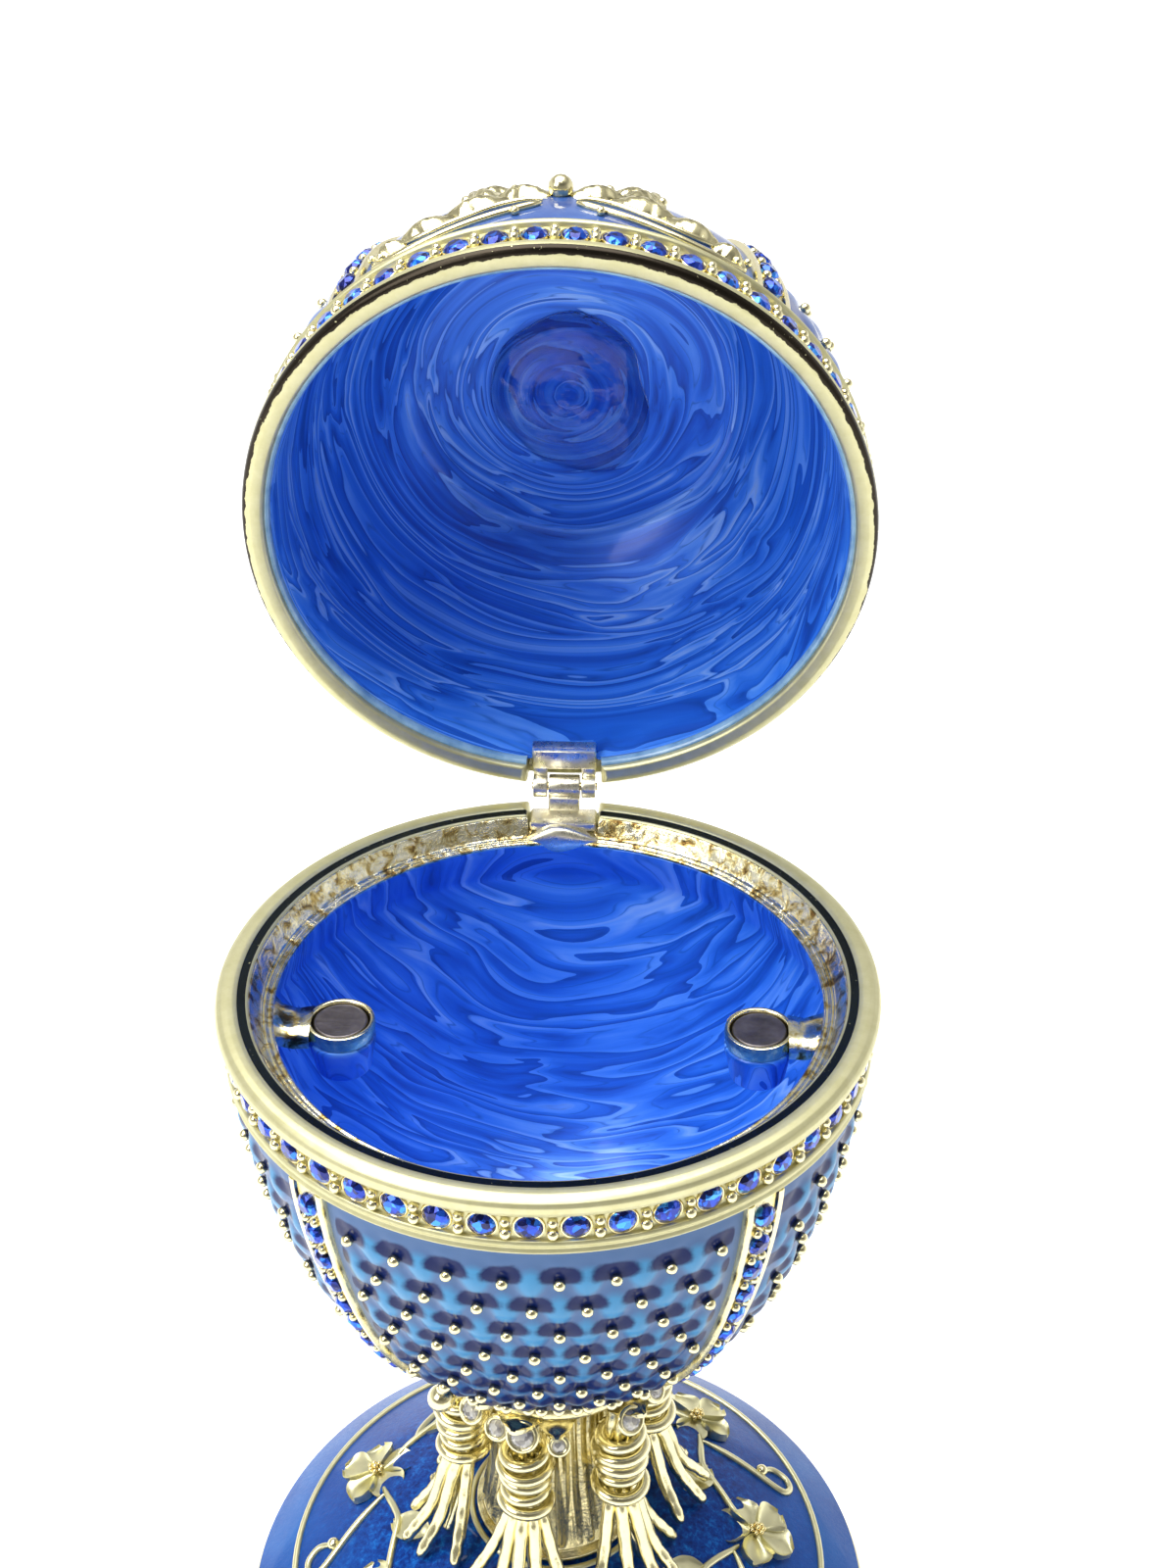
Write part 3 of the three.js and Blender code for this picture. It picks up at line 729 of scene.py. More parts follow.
@dataclass
class Shape:
    """Points in millimetres with their faces, and values that a finish reads at each point."""

    points: np.ndarray
    faces: list[tuple[int, ...]]
    values: dict[str, np.ndarray] = field(default_factory=dict)

    def moved(self, matrix: Matrix) -> "Shape":
        """Returns a copy carried by a matrix.

        Args:
            matrix: a rigid or scaling matrix in millimetres.

        Returns:
            The new shape.
        """
        rows = np.array(matrix)
        points = self.points @ rows[:3, :3].T + rows[:3, 3]
        return Shape(points, list(self.faces), dict(self.values))

    def outward(self) -> "Shape":
        """Turns the faces outwards if they point in, and returns the shape."""
        corners = np.array([(face[0], face[i], face[i + 1])
                            for face in self.faces for i in range(1, len(face) - 1)])
        a, b, c = (self.points[corners[:, i]] for i in range(3))
        if np.einsum("ij,ij->", a, np.cross(b, c)) < 0:
            self.faces = [tuple(reversed(face)) for face in self.faces]
        return self


def together(shapes: list[Shape]) -> Shape:
    """Joins shapes into one.

    Args:
        shapes: the shapes to join, which carry the same values.

    Returns:
        One shape with all their points and faces.
    """
    faces: list[tuple[int, ...]] = []
    count = 0
    for shape in shapes:
        faces += [tuple(index + count for index in face) for face in shape.faces]
        count += len(shape.points)
    names = shapes[0].values
    return Shape(
        np.concatenate([shape.points for shape in shapes]), faces,
        {name: np.concatenate([shape.values[name] for shape in shapes]) for name in names})


def ringed(grid: np.ndarray, ends: Ends, values: dict[str, np.ndarray] | None = None) -> Shape:
    """Joins rings of points into a closed surface.

    Args:
        grid: points as rings x places round the ring x 3.
        ends: how the first and last ring are finished.
        values: values at each point, as rings x places.

    Returns:
        The closed shape, faces outwards.
    """
    rings, places = grid.shape[:2]
    index = np.arange(rings * places).reshape(rings, places)
    points = grid.reshape(-1, 3)
    stored = {name: value.reshape(-1) for name, value in (values or {}).items()}
    first, last = (1, rings - 1) if ends is Ends.POLES else (0, rings)
    low = index[first:last - 1]
    high = index[first + 1:last]
    if ends is Ends.LOOP:
        low, high = index, np.roll(index, -1, axis=0)
    quads = np.stack([low, np.roll(low, -1, axis=1), np.roll(high, -1, axis=1), high], -1)
    faces = [tuple(quad) for quad in quads.reshape(-1, 4).tolist()]
    if ends is Ends.CAPS:
        faces.append(tuple(reversed(index[0].tolist())))
        faces.append(tuple(index[-1].tolist()))
    if ends is Ends.POLES:
        for pole, ring in ((0, index[1]), (rings - 1, index[-2])):
            tip = int(index[pole, 0])
            points[tip] = grid[pole].mean(axis=0)
            order = ring.tolist() if pole == 0 else ring.tolist()[::-1]
            faces += [(tip, order[(i + 1) % places], order[i]) for i in range(places)]
    used = np.unique(np.concatenate([np.array(face) for face in faces[-2 * places:]]
                                    + [quads.reshape(-1)]))
    rename = np.full(len(points), -1)
    rename[used] = np.arange(len(used))
    faces = [tuple(rename[list(face)].tolist()) for face in faces]
    shape = Shape(points[used], faces, {name: value[used] for name, value in stored.items()})
    return shape.outward()


def polar(radius: np.ndarray | float, azimuth: np.ndarray | float,
          height: np.ndarray | float) -> np.ndarray:
    """Gives points round the axis.

    Args:
        radius: distance from the axis.
        azimuth: degrees from the front.
        height: height.

    Returns:
        The points, with x, y, z last.
    """
    angle = np.radians(azimuth)
    radius, angle, height = np.broadcast_arrays(radius, angle, height)
    return np.stack([radius * np.sin(angle), -radius * np.cos(angle), height], -1)


def rounded(points: list[Point2], cut: float = 0.2, steps: int = 3,
            closed: bool = True) -> list[Point2]:
    """Rounds the corners of a profile.

    Args:
        points: the corners.
        cut: how far back from a corner the rounding starts.
        steps: pieces in each rounding.
        closed: whether the profile returns to its first point.

    Returns:
        The profile with its corners rounded.
    """
    made: list[Point2] = []
    count = len(points)
    for i, corner in enumerate(points):
        if not closed and i in (0, count - 1):
            made.append(corner)
            continue
        here = np.array(corner)
        arms = [np.array(points[(i + step) % count]) - here for step in (-1, 1)]
        starts = [here + arm * min(0.5, cut / max(np.linalg.norm(arm), 1e-6)) for arm in arms]
        for j in range(steps + 1):
            t = j / steps
            place = (1 - t) ** 2 * starts[0] + 2 * t * (1 - t) * here + t ** 2 * starts[1]
            made.append((float(place[0]), float(place[1])))
    return made


def profile_normals(profile: np.ndarray) -> np.ndarray:
    """Gives the outward direction at each point of a profile that encloses the material.

    Args:
        profile: points of radius and height, in order round the material.

    Returns:
        Unit directions in the same plane.
    """
    ahead = np.roll(profile, -1, axis=0) - np.roll(profile, 1, axis=0)
    ahead[0] = profile[1] - profile[0]
    ahead[-1] = profile[-1] - profile[-2]
    area = np.sum(profile[:, 0] * np.roll(profile[:, 1], -1)
                  - np.roll(profile[:, 0], -1) * profile[:, 1])
    turn = np.sign(area)
    normals = np.stack([ahead[:, 1] * turn, -ahead[:, 0] * turn], -1)
    return normals / np.maximum(np.linalg.norm(normals, axis=1, keepdims=True), 1e-9)


def turned(profile: list[Point2] | np.ndarray, segments: int | np.ndarray,
           ends: Ends = Ends.LOOP, relief: np.ndarray | None = None,
           values: dict[str, np.ndarray] | None = None) -> Shape:
    """Turns a profile about the axis.

    Args:
        profile: radius and height, round the material.
        segments: how many places round the axis, or the azimuth of each.
        ends: LOOP for a ring, POLES where the profile starts and ends on the axis.
        relief: how far each point stands out along the wall's normal, as rows x segments.
        values: values at each point, as rows x segments.

    Returns:
        The turned shape.
    """
    line = np.array(profile, float)
    azimuth = segments
    if isinstance(segments, int):
        azimuth = 360.0 * np.arange(segments) / segments
    offset = np.zeros((len(line), len(azimuth))) if relief is None else relief
    normals = profile_normals(line)
    radius = line[:, :1] + offset * normals[:, :1]
    height = line[:, 1:] + offset * normals[:, 1:]
    return ringed(polar(radius, azimuth[None, :], height), ends, values)


@dataclass(frozen=True)
class Notch:
    """The gap in a rim where the hinge passes: it runs from one edge of the rim to its floor."""

    floor: float
    edge: float
    half: float = 4.15
    corner: float = 1.0
    start: float = 28.0

    def azimuths(self, coarse: int = 232) -> np.ndarray:
        """Gives azimuths for a rim, close together at the sides of the notch.

        Args:
            coarse: places over the rest of the rim.

        Returns:
            The azimuths.
        """
        edge = math.degrees(math.asin(self.half / 33.5))
        side = np.concatenate([np.linspace(edge - 0.5, edge + 0.5, 9),
                               np.linspace(edge + 0.6, edge + 2.6, 11)])
        middle = np.linspace(-edge + 0.8, edge - 0.8, 9)
        near = np.concatenate([-side[::-1], middle, side]) + 180.0
        rest = np.linspace(near[-1], near[0] + 360.0, coarse)[1:-1]
        return np.concatenate([near, rest])

    def cut(self, shape: Shape) -> Shape:
        """Cuts the notch into a rim by bringing its points down, or up, to the gap's outline.

        Args:
            shape: the whole rim.

        Returns:
            The notched rim.
        """
        points = shape.points.copy()
        across = np.abs(points[:, 0])
        beyond = np.clip((self.half + self.corner - across) / self.corner, 0.0, 1.0)
        sense = 1.0 if self.edge > self.floor else -1.0
        limit = self.edge - sense * self.corner * (1 - np.sqrt(1 - beyond ** 2))
        inside = np.clip((self.half - across) / 0.12, 0.0, 1.0)
        limit = limit + (self.floor - limit) * inside
        limit = np.where(beyond > 0, limit, self.edge + 50.0 * sense)
        here = points[:, 1] > self.start
        cut = np.minimum(points[:, 2] * sense, limit * sense) * sense
        points[:, 2] = np.where(here, cut, points[:, 2])
        return Shape(points, shape.faces, shape.values)

    def ring(self, outline: list[Point2], cut: float, steps: int = 2) -> Shape:
        """Makes a notched ring."""
        profile = rounded([(r, z + SIZES.seat_z) for r, z in outline], cut, steps)
        return self.cut(turned(profile, self.azimuths()))


def swept(path: np.ndarray, normals: np.ndarray, section: list[Point2],
          widths: np.ndarray | float, heights: np.ndarray | float = 1.0,
          ends: Ends = Ends.CAPS) -> Shape:
    """Carries a section along a path.

    Args:
        path: the path's points.
        normals: the way that is up at each of them.
        section: the section's corners as across and lift, round the material.
        widths: scale of the section across the path.
        heights: scale of the section along the normals.
        ends: CAPS, or LOOP for a path that closes.

    Returns:
        The swept shape.
    """
    count = len(path)
    ahead = np.roll(path, -1, axis=0) - np.roll(path, 1, axis=0)
    if ends is not Ends.LOOP:
        ahead[0] = path[1] - path[0]
        ahead[-1] = path[-1] - path[-2]
    side = np.cross(ahead, normals)
    side /= np.maximum(np.linalg.norm(side, axis=1, keepdims=True), 1e-9)
    across = np.array([corner[0] for corner in section])
    lift = np.array([corner[1] for corner in section])
    wide = np.broadcast_to(widths, count)[:, None, None]
    tall = np.broadcast_to(heights, count)[:, None, None]
    grid = (path[:, None, :] + side[:, None, :] * across[None, :, None] * wide
            + normals[:, None, :] * lift[None, :, None] * tall)
    return ringed(grid, ends)


def smooth_line(points: list[tuple[float, ...]], count: int) -> np.ndarray:
    """Draws a smooth line through a few points.

    Args:
        points: the points, of any dimension.
        count: how many points the line gets.

    Returns:
        The line.
    """
    knots = np.array(points, float)
    padded = np.vstack([2 * knots[0] - knots[1], knots, 2 * knots[-1] - knots[-2]])
    places = np.linspace(0, len(knots) - 1, count)
    line = []
    for place in places:
        i = min(int(place), len(knots) - 2)
        t = place - i
        a, b, c, d = padded[i:i + 4]
        line.append(0.5 * (2 * b + (c - a) * t + (2 * a - 5 * b + 4 * c - d) * t ** 2
                           + (3 * b - a - 3 * c + d) * t ** 3))
    return np.array(line)


@dataclass
class Wall:
    """A turned wall, followed by the distance along it from its edge towards the axis."""

    profile: np.ndarray

    def __post_init__(self) -> None:
        """Measures the profile."""
        steps = np.linalg.norm(np.diff(self.profile, axis=0), axis=1)
        self.distance = np.concatenate([[0.0], np.cumsum(steps)])
        self.sense = np.sign(self.profile[-1, 1] - self.profile[0, 1])

    @property
    def length(self) -> float:
        """The whole distance from the edge to the axis."""
        return float(self.distance[-1])

    def at(self, distance: np.ndarray | float) -> tuple[np.ndarray, np.ndarray]:
        """Gives radius and height at a distance from the edge."""
        return (np.interp(distance, self.distance, self.profile[:, 0]),
                np.interp(distance, self.distance, self.profile[:, 1]))

    def normal(self, distance: np.ndarray | float, azimuth: np.ndarray | float) -> np.ndarray:
        """Gives the outward direction at places on the wall.

        Args:
            distance: distance from the edge.
            azimuth: degrees from the front.

        Returns:
            Unit vectors.
        """
        reach = 0.25
        before = self.at(np.maximum(distance - reach, 0.0))
        after = self.at(np.minimum(distance + reach, self.length))
        run, rise = after[0] - before[0], after[1] - before[1]
        direction = polar(rise * self.sense, azimuth, -run * self.sense)
        return direction / np.linalg.norm(direction, axis=-1, keepdims=True)

    def place(self, distance: np.ndarray | float, azimuth: np.ndarray | float,
              lift: np.ndarray | float = 0.0) -> np.ndarray:
        """Gives points on the wall.

        Args:
            distance: distance from the edge.
            azimuth: degrees from the front.
            lift: height above the wall.

        Returns:
            The points.
        """
        radius, height = self.at(distance)
        raised = np.asarray(lift)[..., None] * self.normal(distance, azimuth)
        return polar(radius, azimuth, height) + raised


def egg_wall(radius: float, start: float, depth: float, flatness: float,
             fullness: float) -> Wall:
    """Draws one half of the egg.

    Args:
        radius: radius at the edge.
        start: height of the edge above the seat.
        depth: rise from the edge to the end, negative downwards.
        flatness: how long the wall stays upright.
        fullness: how full the end is.

    Returns:
        The wall.
    """
    t = 1 - (1 - np.linspace(0, 1, 400)) ** 1.6
    across = radius * np.maximum(1 - t ** flatness, 0.0) ** (1 / fullness)
    return Wall(np.stack([across, SIZES.seat_z + start + depth * t], -1))


# Making pieces

def store(mesh: bpy.types.Mesh, name: str, values: np.ndarray) -> None:
    """Stores a number or a vector at each point of a mesh.

    Args:
        mesh: the mesh.
        name: the name that a finish or a tree reads it by.
        values: one number or one row of three for each point.
    """
    kind, label = ("FLOAT_VECTOR", "vector") if values.ndim == 2 else ("FLOAT", "value")
    layer = mesh.attributes.new(name, kind, "POINT")
    layer.data.foreach_set(label, values.astype(np.float32).ravel())


class PieceShop:
    """Makes the pieces of one body, turned to where the body stands at rest."""

    def __init__(self, body: Body, turn: Matrix) -> None:
        """Starts a shop."""
        self.body = body
        self.turn = turn

    def mesh(self, name: str, shape: Shape) -> bpy.types.Mesh:
        """Makes a mesh in metres, with the shape's values and its own upright place stored.

        Args:
            name: the mesh's name.
            shape: the shape in millimetres.

        Returns:
            The mesh.
        """
        made = bpy.data.meshes.new(name)
        placed = shape.moved(self.turn).points * MM
        made.from_pydata(placed.tolist(), [], shape.faces)
        for key, values in {"own": shape.points, **shape.values}.items():
            store(made, key, values)
        return made

    def piece(self, name: str, shape: Shape, finish: Finish, slot: Slot,
              crease: float = 38.0) -> bpy.types.Object:
        """Makes a piece from a shape.

        Args:
            name: the piece's name.
            shape: the shape in millimetres.
            finish: its finish.
            slot: the record's slot; not used.
            crease: edges sharper than this many degrees stay sharp.

        Returns:
            The piece, riding on the shop's body.
        """
        mesh = self.mesh(name, shape)
        mesh.materials.append(finish.material())
        return self.finished(bpy.data.objects.new(name, mesh), crease)

    def finished(self, piece: bpy.types.Object, crease: float) -> bpy.types.Object:
        """Shades a piece, puts it in the scene and lets it ride.

        Args:
            piece: the object.
            crease: sharp edges, in degrees.

        Returns:
            The same object.
        """
        mesh = piece.data
        mesh.polygons.foreach_set("use_smooth", [crease > 0] * len(mesh.polygons))
        if crease > 0:
            mesh.set_sharp_from_angle(angle=math.radians(crease))
        if piece.name not in bpy.context.scene.collection.objects:
            bpy.context.scene.collection.objects.link(piece)
        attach(piece, self.body.value)
        log.info("%s: %d faces", piece.name, len(mesh.polygons))
        return piece

    def grown(self, name: str, carrier: bpy.types.Mesh, tree: bpy.types.NodeTree,
              inputs: dict[str, object], crease: float) -> bpy.types.Object:
        """Runs a Geometry Nodes tree on a carrier mesh and keeps the result as a plain piece.

        Args:
            name: the piece's name.
            carrier: the mesh that the tree reads.
            tree: the tree.
            inputs: values by input name.
            crease: sharp edges, in degrees.

        Returns:
            The finished piece.
        """
        holder = bpy.data.objects.new(name, carrier)
        bpy.context.scene.collection.objects.link(holder)
        modifier = holder.modifiers.new("grow", "NODES")
        modifier.node_group = tree
        for item in tree.interface.items_tree:
            if item.item_type == "SOCKET" and item.name in inputs:
                modifier[item.identifier] = inputs[item.name]
        graph = bpy.context.evaluated_depsgraph_get()
        mesh = bpy.data.meshes.new_from_object(holder.evaluated_get(graph), depsgraph=graph)
        holder.modifiers.remove(modifier)
        holder.data = mesh
        mesh.name = name
        bpy.data.meshes.remove(carrier)
        return self.finished(holder, crease)

    def scattered(self, name: str, model: Shape, places: list["Seat"], finish: Finish,
                  slot: Slot, crease: float = 50.0) -> bpy.types.Object:
        """Repeats a small shape at many seats.

        Args:
            name: the piece's name.
            model: the shape, 1 mm in radius, standing on +Z.
            places: where each copy stands.
            finish: the finish.
            slot: the record's slot; not used.
            crease: sharp edges, in degrees, or 0 for flat facets.

        Returns:
            One piece with all the copies.
        """
        turn = self.turn.to_3x3()
        points = [list((self.turn @ Vector(seat.place)) * MM) for seat in places]
        carrier = bpy.data.meshes.new(name + "_seats")
        carrier.from_pydata(points, [], [])
        turns = [list((turn @ seat.frame()).to_euler()) for seat in places]
        sizes = [list(seat.size) for seat in places]
        for key, rows in (("turn", turns), ("size", sizes)):
            store(carrier, key, np.array(rows, np.float32))
        mesh = bpy.data.meshes.new(name + "_model")
        mesh.from_pydata((model.points * MM).tolist(), [], model.faces)
        source = bpy.data.objects.new(name + "_model", mesh)
        bpy.context.scene.collection.objects.link(source)
        piece = self.grown(name, carrier, scatter_tree(), {
            "Model": source, "Finish": finish.material()}, crease)
        bpy.data.objects.remove(source)
        bpy.data.meshes.remove(mesh)
        return piece

    def wired(self, name: str, lines: list["Line"], finish: Finish, slot: Slot,
              sides: int = 10, crease: float = 60.0) -> bpy.types.Object:
        """Runs round wires along lines.

        Args:
            name: the piece's name.
            lines: the lines with their thickness.
            finish: the finish.
            slot: the record's slot; not used.
            sides: sides of the wire.
            crease: sharp edges, in degrees.

        Returns:
            One piece with all the wires.
        """
        points: list[list[float]] = []
        edges: list[tuple[int, int]] = []
        thickness: list[float] = []
        for line in lines:
            start = len(points)
            count = len(line.points)
            points += [list((self.turn @ Vector(point)) * MM) for point in line.points]
            edges += [(start + i, start + i + 1) for i in range(count - 1)]
            if line.closed:
                edges.append((start + count - 1, start))
            thickness += list(np.broadcast_to(line.radius, count))
        carrier = bpy.data.meshes.new(name + "_lines")
        carrier.from_pydata(points, edges, [])
        store(carrier, "thickness", np.array(thickness, np.float32) * MM)
        return self.grown(name, carrier, wire_tree(), {
            "Sides": sides, "Finish": finish.material()}, crease)


@dataclass
class Seat:
    """Where one copy of a small shape stands."""

    place: np.ndarray
    up: np.ndarray
    size: tuple[float, float, float]
    along: np.ndarray = field(default_factory=lambda: np.array([0.0, 0.0, 1.0]))

    def frame(self) -> Matrix:
        """Returns the turn that puts +Z along up and +Y as near along as it can be."""
        up = Vector(self.up).normalized()
        side = Vector(self.along).cross(up)
        if side.length < 1e-6:
            side = Vector((1.0, 0.0, 0.0)).cross(up)
        side.normalize()
        return Matrix((side, up.cross(side), up)).transposed()


@dataclass
class Line:
    """A line that a wire follows."""

    points: np.ndarray
    radius: np.ndarray | float
    closed: bool = False


def new_tree(name: str, inputs: dict[str, str]) -> tuple[bpy.types.NodeTree, bpy.types.Node,
                                                         bpy.types.Node]:
    """Starts a Geometry Nodes tree.

    Args:
        name: the tree's name.
        inputs: socket types by input name, after the geometry.

    Returns:
        The tree, its input node and its output node.
    """
    tree = bpy.data.node_groups.new(name, "GeometryNodeTree")
    tree.interface.new_socket("Geometry", in_out="INPUT", socket_type="NodeSocketGeometry")
    for label, kind in inputs.items():
        tree.interface.new_socket(label, in_out="INPUT", socket_type=kind)
    tree.interface.new_socket("Geometry", in_out="OUTPUT", socket_type="NodeSocketGeometry")
    return tree, tree.nodes.new("NodeGroupInput"), tree.nodes.new("NodeGroupOutput")


def read_value(tree: bpy.types.NodeTree, name: str, kind: str) -> bpy.types.NodeSocket:
    """Adds a node that reads a stored value.

    Args:
        tree: the tree.
        name: the value's name.
        kind: FLOAT or FLOAT_VECTOR.

    Returns:
        Its output.
    """
    node = tree.nodes.new("GeometryNodeInputNamedAttribute")
    node.data_type = kind
    node.inputs["Name"].default_value = name
    return node.outputs["Attribute"]


def end_tree(tree: bpy.types.NodeTree, made: bpy.types.NodeSocket, given: bpy.types.Node,
             result: bpy.types.Node) -> None:
    """Realizes what a tree made, gives it the finish and passes it out.

    Args:
        tree: the tree.
        made: the geometry that it made.
        given: its input node.
        result: its output node.
    """
    real = tree.nodes.new("GeometryNodeRealizeInstances")
    coat = tree.nodes.new("GeometryNodeSetMaterial")
    tree.links.new(made, real.inputs["Geometry"])
    tree.links.new(real.outputs["Geometry"], coat.inputs["Geometry"])
    tree.links.new(given.outputs["Finish"], coat.inputs["Material"])
    tree.links.new(coat.outputs["Geometry"], result.inputs["Geometry"])


def scatter_tree() -> bpy.types.NodeTree:
    """Returns the tree that stands copies of a model on points, made once."""
    found = bpy.data.node_groups.get("stand_on_seats")
    if found:
        return found
    tree, given, result = new_tree("stand_on_seats", {
        "Model": "NodeSocketObject", "Finish": "NodeSocketMaterial"})
    model = tree.nodes.new("GeometryNodeObjectInfo")
    copies = tree.nodes.new("GeometryNodeInstanceOnPoints")
    turn = tree.nodes.new("FunctionNodeEulerToRotation")
    link = tree.links.new
    link(given.outputs["Model"], model.inputs["Object"])
    link(given.outputs["Geometry"], copies.inputs["Points"])
    link(model.outputs["Geometry"], copies.inputs["Instance"])
    link(read_value(tree, "turn", "FLOAT_VECTOR"), turn.inputs["Euler"])
    link(turn.outputs["Rotation"], copies.inputs["Rotation"])
    link(read_value(tree, "size", "FLOAT_VECTOR"), copies.inputs["Scale"])
    end_tree(tree, copies.outputs["Instances"], given, result)
    return tree


def wire_tree() -> bpy.types.NodeTree:
    """Returns the tree that runs a round wire along edges, made once."""
    found = bpy.data.node_groups.get("run_wire")
    if found:
        return found
    tree, given, result = new_tree("run_wire", {
        "Sides": "NodeSocketInt", "Finish": "NodeSocketMaterial"})
    line = tree.nodes.new("GeometryNodeMeshToCurve")
    ring = tree.nodes.new("GeometryNodeCurvePrimitiveCircle")
    ring.inputs["Radius"].default_value = 1.0
    skin = tree.nodes.new("GeometryNodeCurveToMesh")
    skin.inputs["Fill Caps"].default_value = True
    link = tree.links.new
    link(given.outputs["Geometry"], line.inputs["Mesh"])
    link(given.outputs["Sides"], ring.inputs["Resolution"])
    link(line.outputs["Curve"], skin.inputs["Curve"])
    link(ring.outputs["Curve"], skin.inputs["Profile Curve"])
    link(read_value(tree, "thickness", "FLOAT"), skin.inputs["Scale"])
    end_tree(tree, skin.outputs["Mesh"], given, result)
    return tree


# Small shapes that repeat

def bead_model(places: int = 10, rings: int = 6) -> Shape:
    """Makes a ball of 1 mm radius.

    Args:
        places: faces round it.
        rings: faces from pole to pole.

    Returns:
        The ball.
    """
    angle = np.linspace(-90, 90, rings + 1)
    line = np.stack([np.cos(np.radians(angle)), np.sin(np.radians(angle))], -1)
    return turned(line, places, Ends.POLES)


def stone_model() -> Shape:
    """Makes a round cut stone of 1 mm radius: table, crown facets, girdle and a flat back."""
    table = polar(0.56, 45.0 * np.arange(8), 0.46)
    crown = polar(0.84, 45.0 * np.arange(8) + 22.5, 0.27)
    girdle = polar(1.0, 22.5 * np.arange(16), 0.02)
    back = polar(0.9, 22.5 * np.arange(16), -0.5)
    points = np.concatenate([table, crown, girdle, back])
    faces: list[tuple[int, ...]] = [tuple(range(8)), tuple(reversed(range(32, 48)))]
    for i in range(8):
        after, before = (i + 1) % 8, (i - 1) % 8
        faces.append((i, 8 + before, 16 + 2 * i, 8 + i))
        faces.append((i, 8 + i, after))
        faces.append((8 + i, 16 + 2 * i, 17 + 2 * i))
        faces.append((8 + i, 17 + 2 * i, 16 + (2 * i + 2) % 16))
    for i in range(16):
        after = (i + 1) % 16
        faces.append((16 + i, 32 + i, 32 + after, 16 + after))
    return Shape(points, faces).outward()


def leaf_patch(half_width: float, reach: float, crest: float, cup: float, lobes: int = 0,
               veins: int = 0, root: float = 0.5, along: int = 16, across: int = 9,
               tip: float = 0.7) -> Shape:
    """Makes a leaf or petal that lies along +Y from the origin, its face towards +Z.

    Args:
        half_width: half of its greatest width.
        reach: its length.
        crest: height of the midrib, or of the middle.
        cup: how far its edges rise, or droop if negative.
        lobes: notches along each edge.
        veins: raised side veins.
        root: depth below the surface that it stands on.
        along: steps along it.
        across: steps across it.
        tip: above 1 the far end is broader and rounder.

    Returns:
        A closed shape.
    """
    u = np.linspace(0.0, 1.0, along)
    v = np.linspace(-1.0, 1.0, across)
    shade = np.sin(np.pi * np.clip(u, 0.015, 0.985) ** tip) ** 0.62
    if lobes:
        shade = shade * (1 + 0.16 * np.cos(2 * np.pi * lobes * u))
    width = half_width * shade
    grid_u, grid_v = np.meshgrid(u, v, indexing="ij")
    x = grid_v * width[:, None]
    y = grid_u * reach + 0.12 * reach * (1 - grid_v ** 2) * (grid_u > 0.9) * (grid_u - 0.9)
    body = crest * (1 - np.abs(grid_v) ** 1.4) * np.sin(np.pi * np.clip(grid_u, 0.06, 0.94))
    rim = cup * np.abs(grid_v) ** 3 * np.sin(np.pi * np.clip(grid_u, 0.1, 0.9)) ** 0.5
    z = body + rim
    if veins:
        wave = np.cos(2 * np.pi * (veins * (grid_u - 0.35 * np.abs(grid_v))))
        z = z + 0.09 * crest * wave * (np.abs(grid_v) > 0.12)
    top = np.stack([x, y, z], -1)
    under = np.stack([x * 0.8, y, np.full_like(z, -root)], -1)
    ring = np.concatenate([top, under[:, ::-1]], axis=1)
    return ringed(ring, Ends.CAPS)


def seat_matrix(seat: Seat) -> Matrix:
    """Gives the matrix that stands a model, at its size, on a seat."""
    scale = Matrix.Diagonal((*seat.size, 1.0))
    return Matrix.Translation(Vector(seat.place)) @ seat.frame().to_4x4() @ scale


# Decoration that bowl and lid share

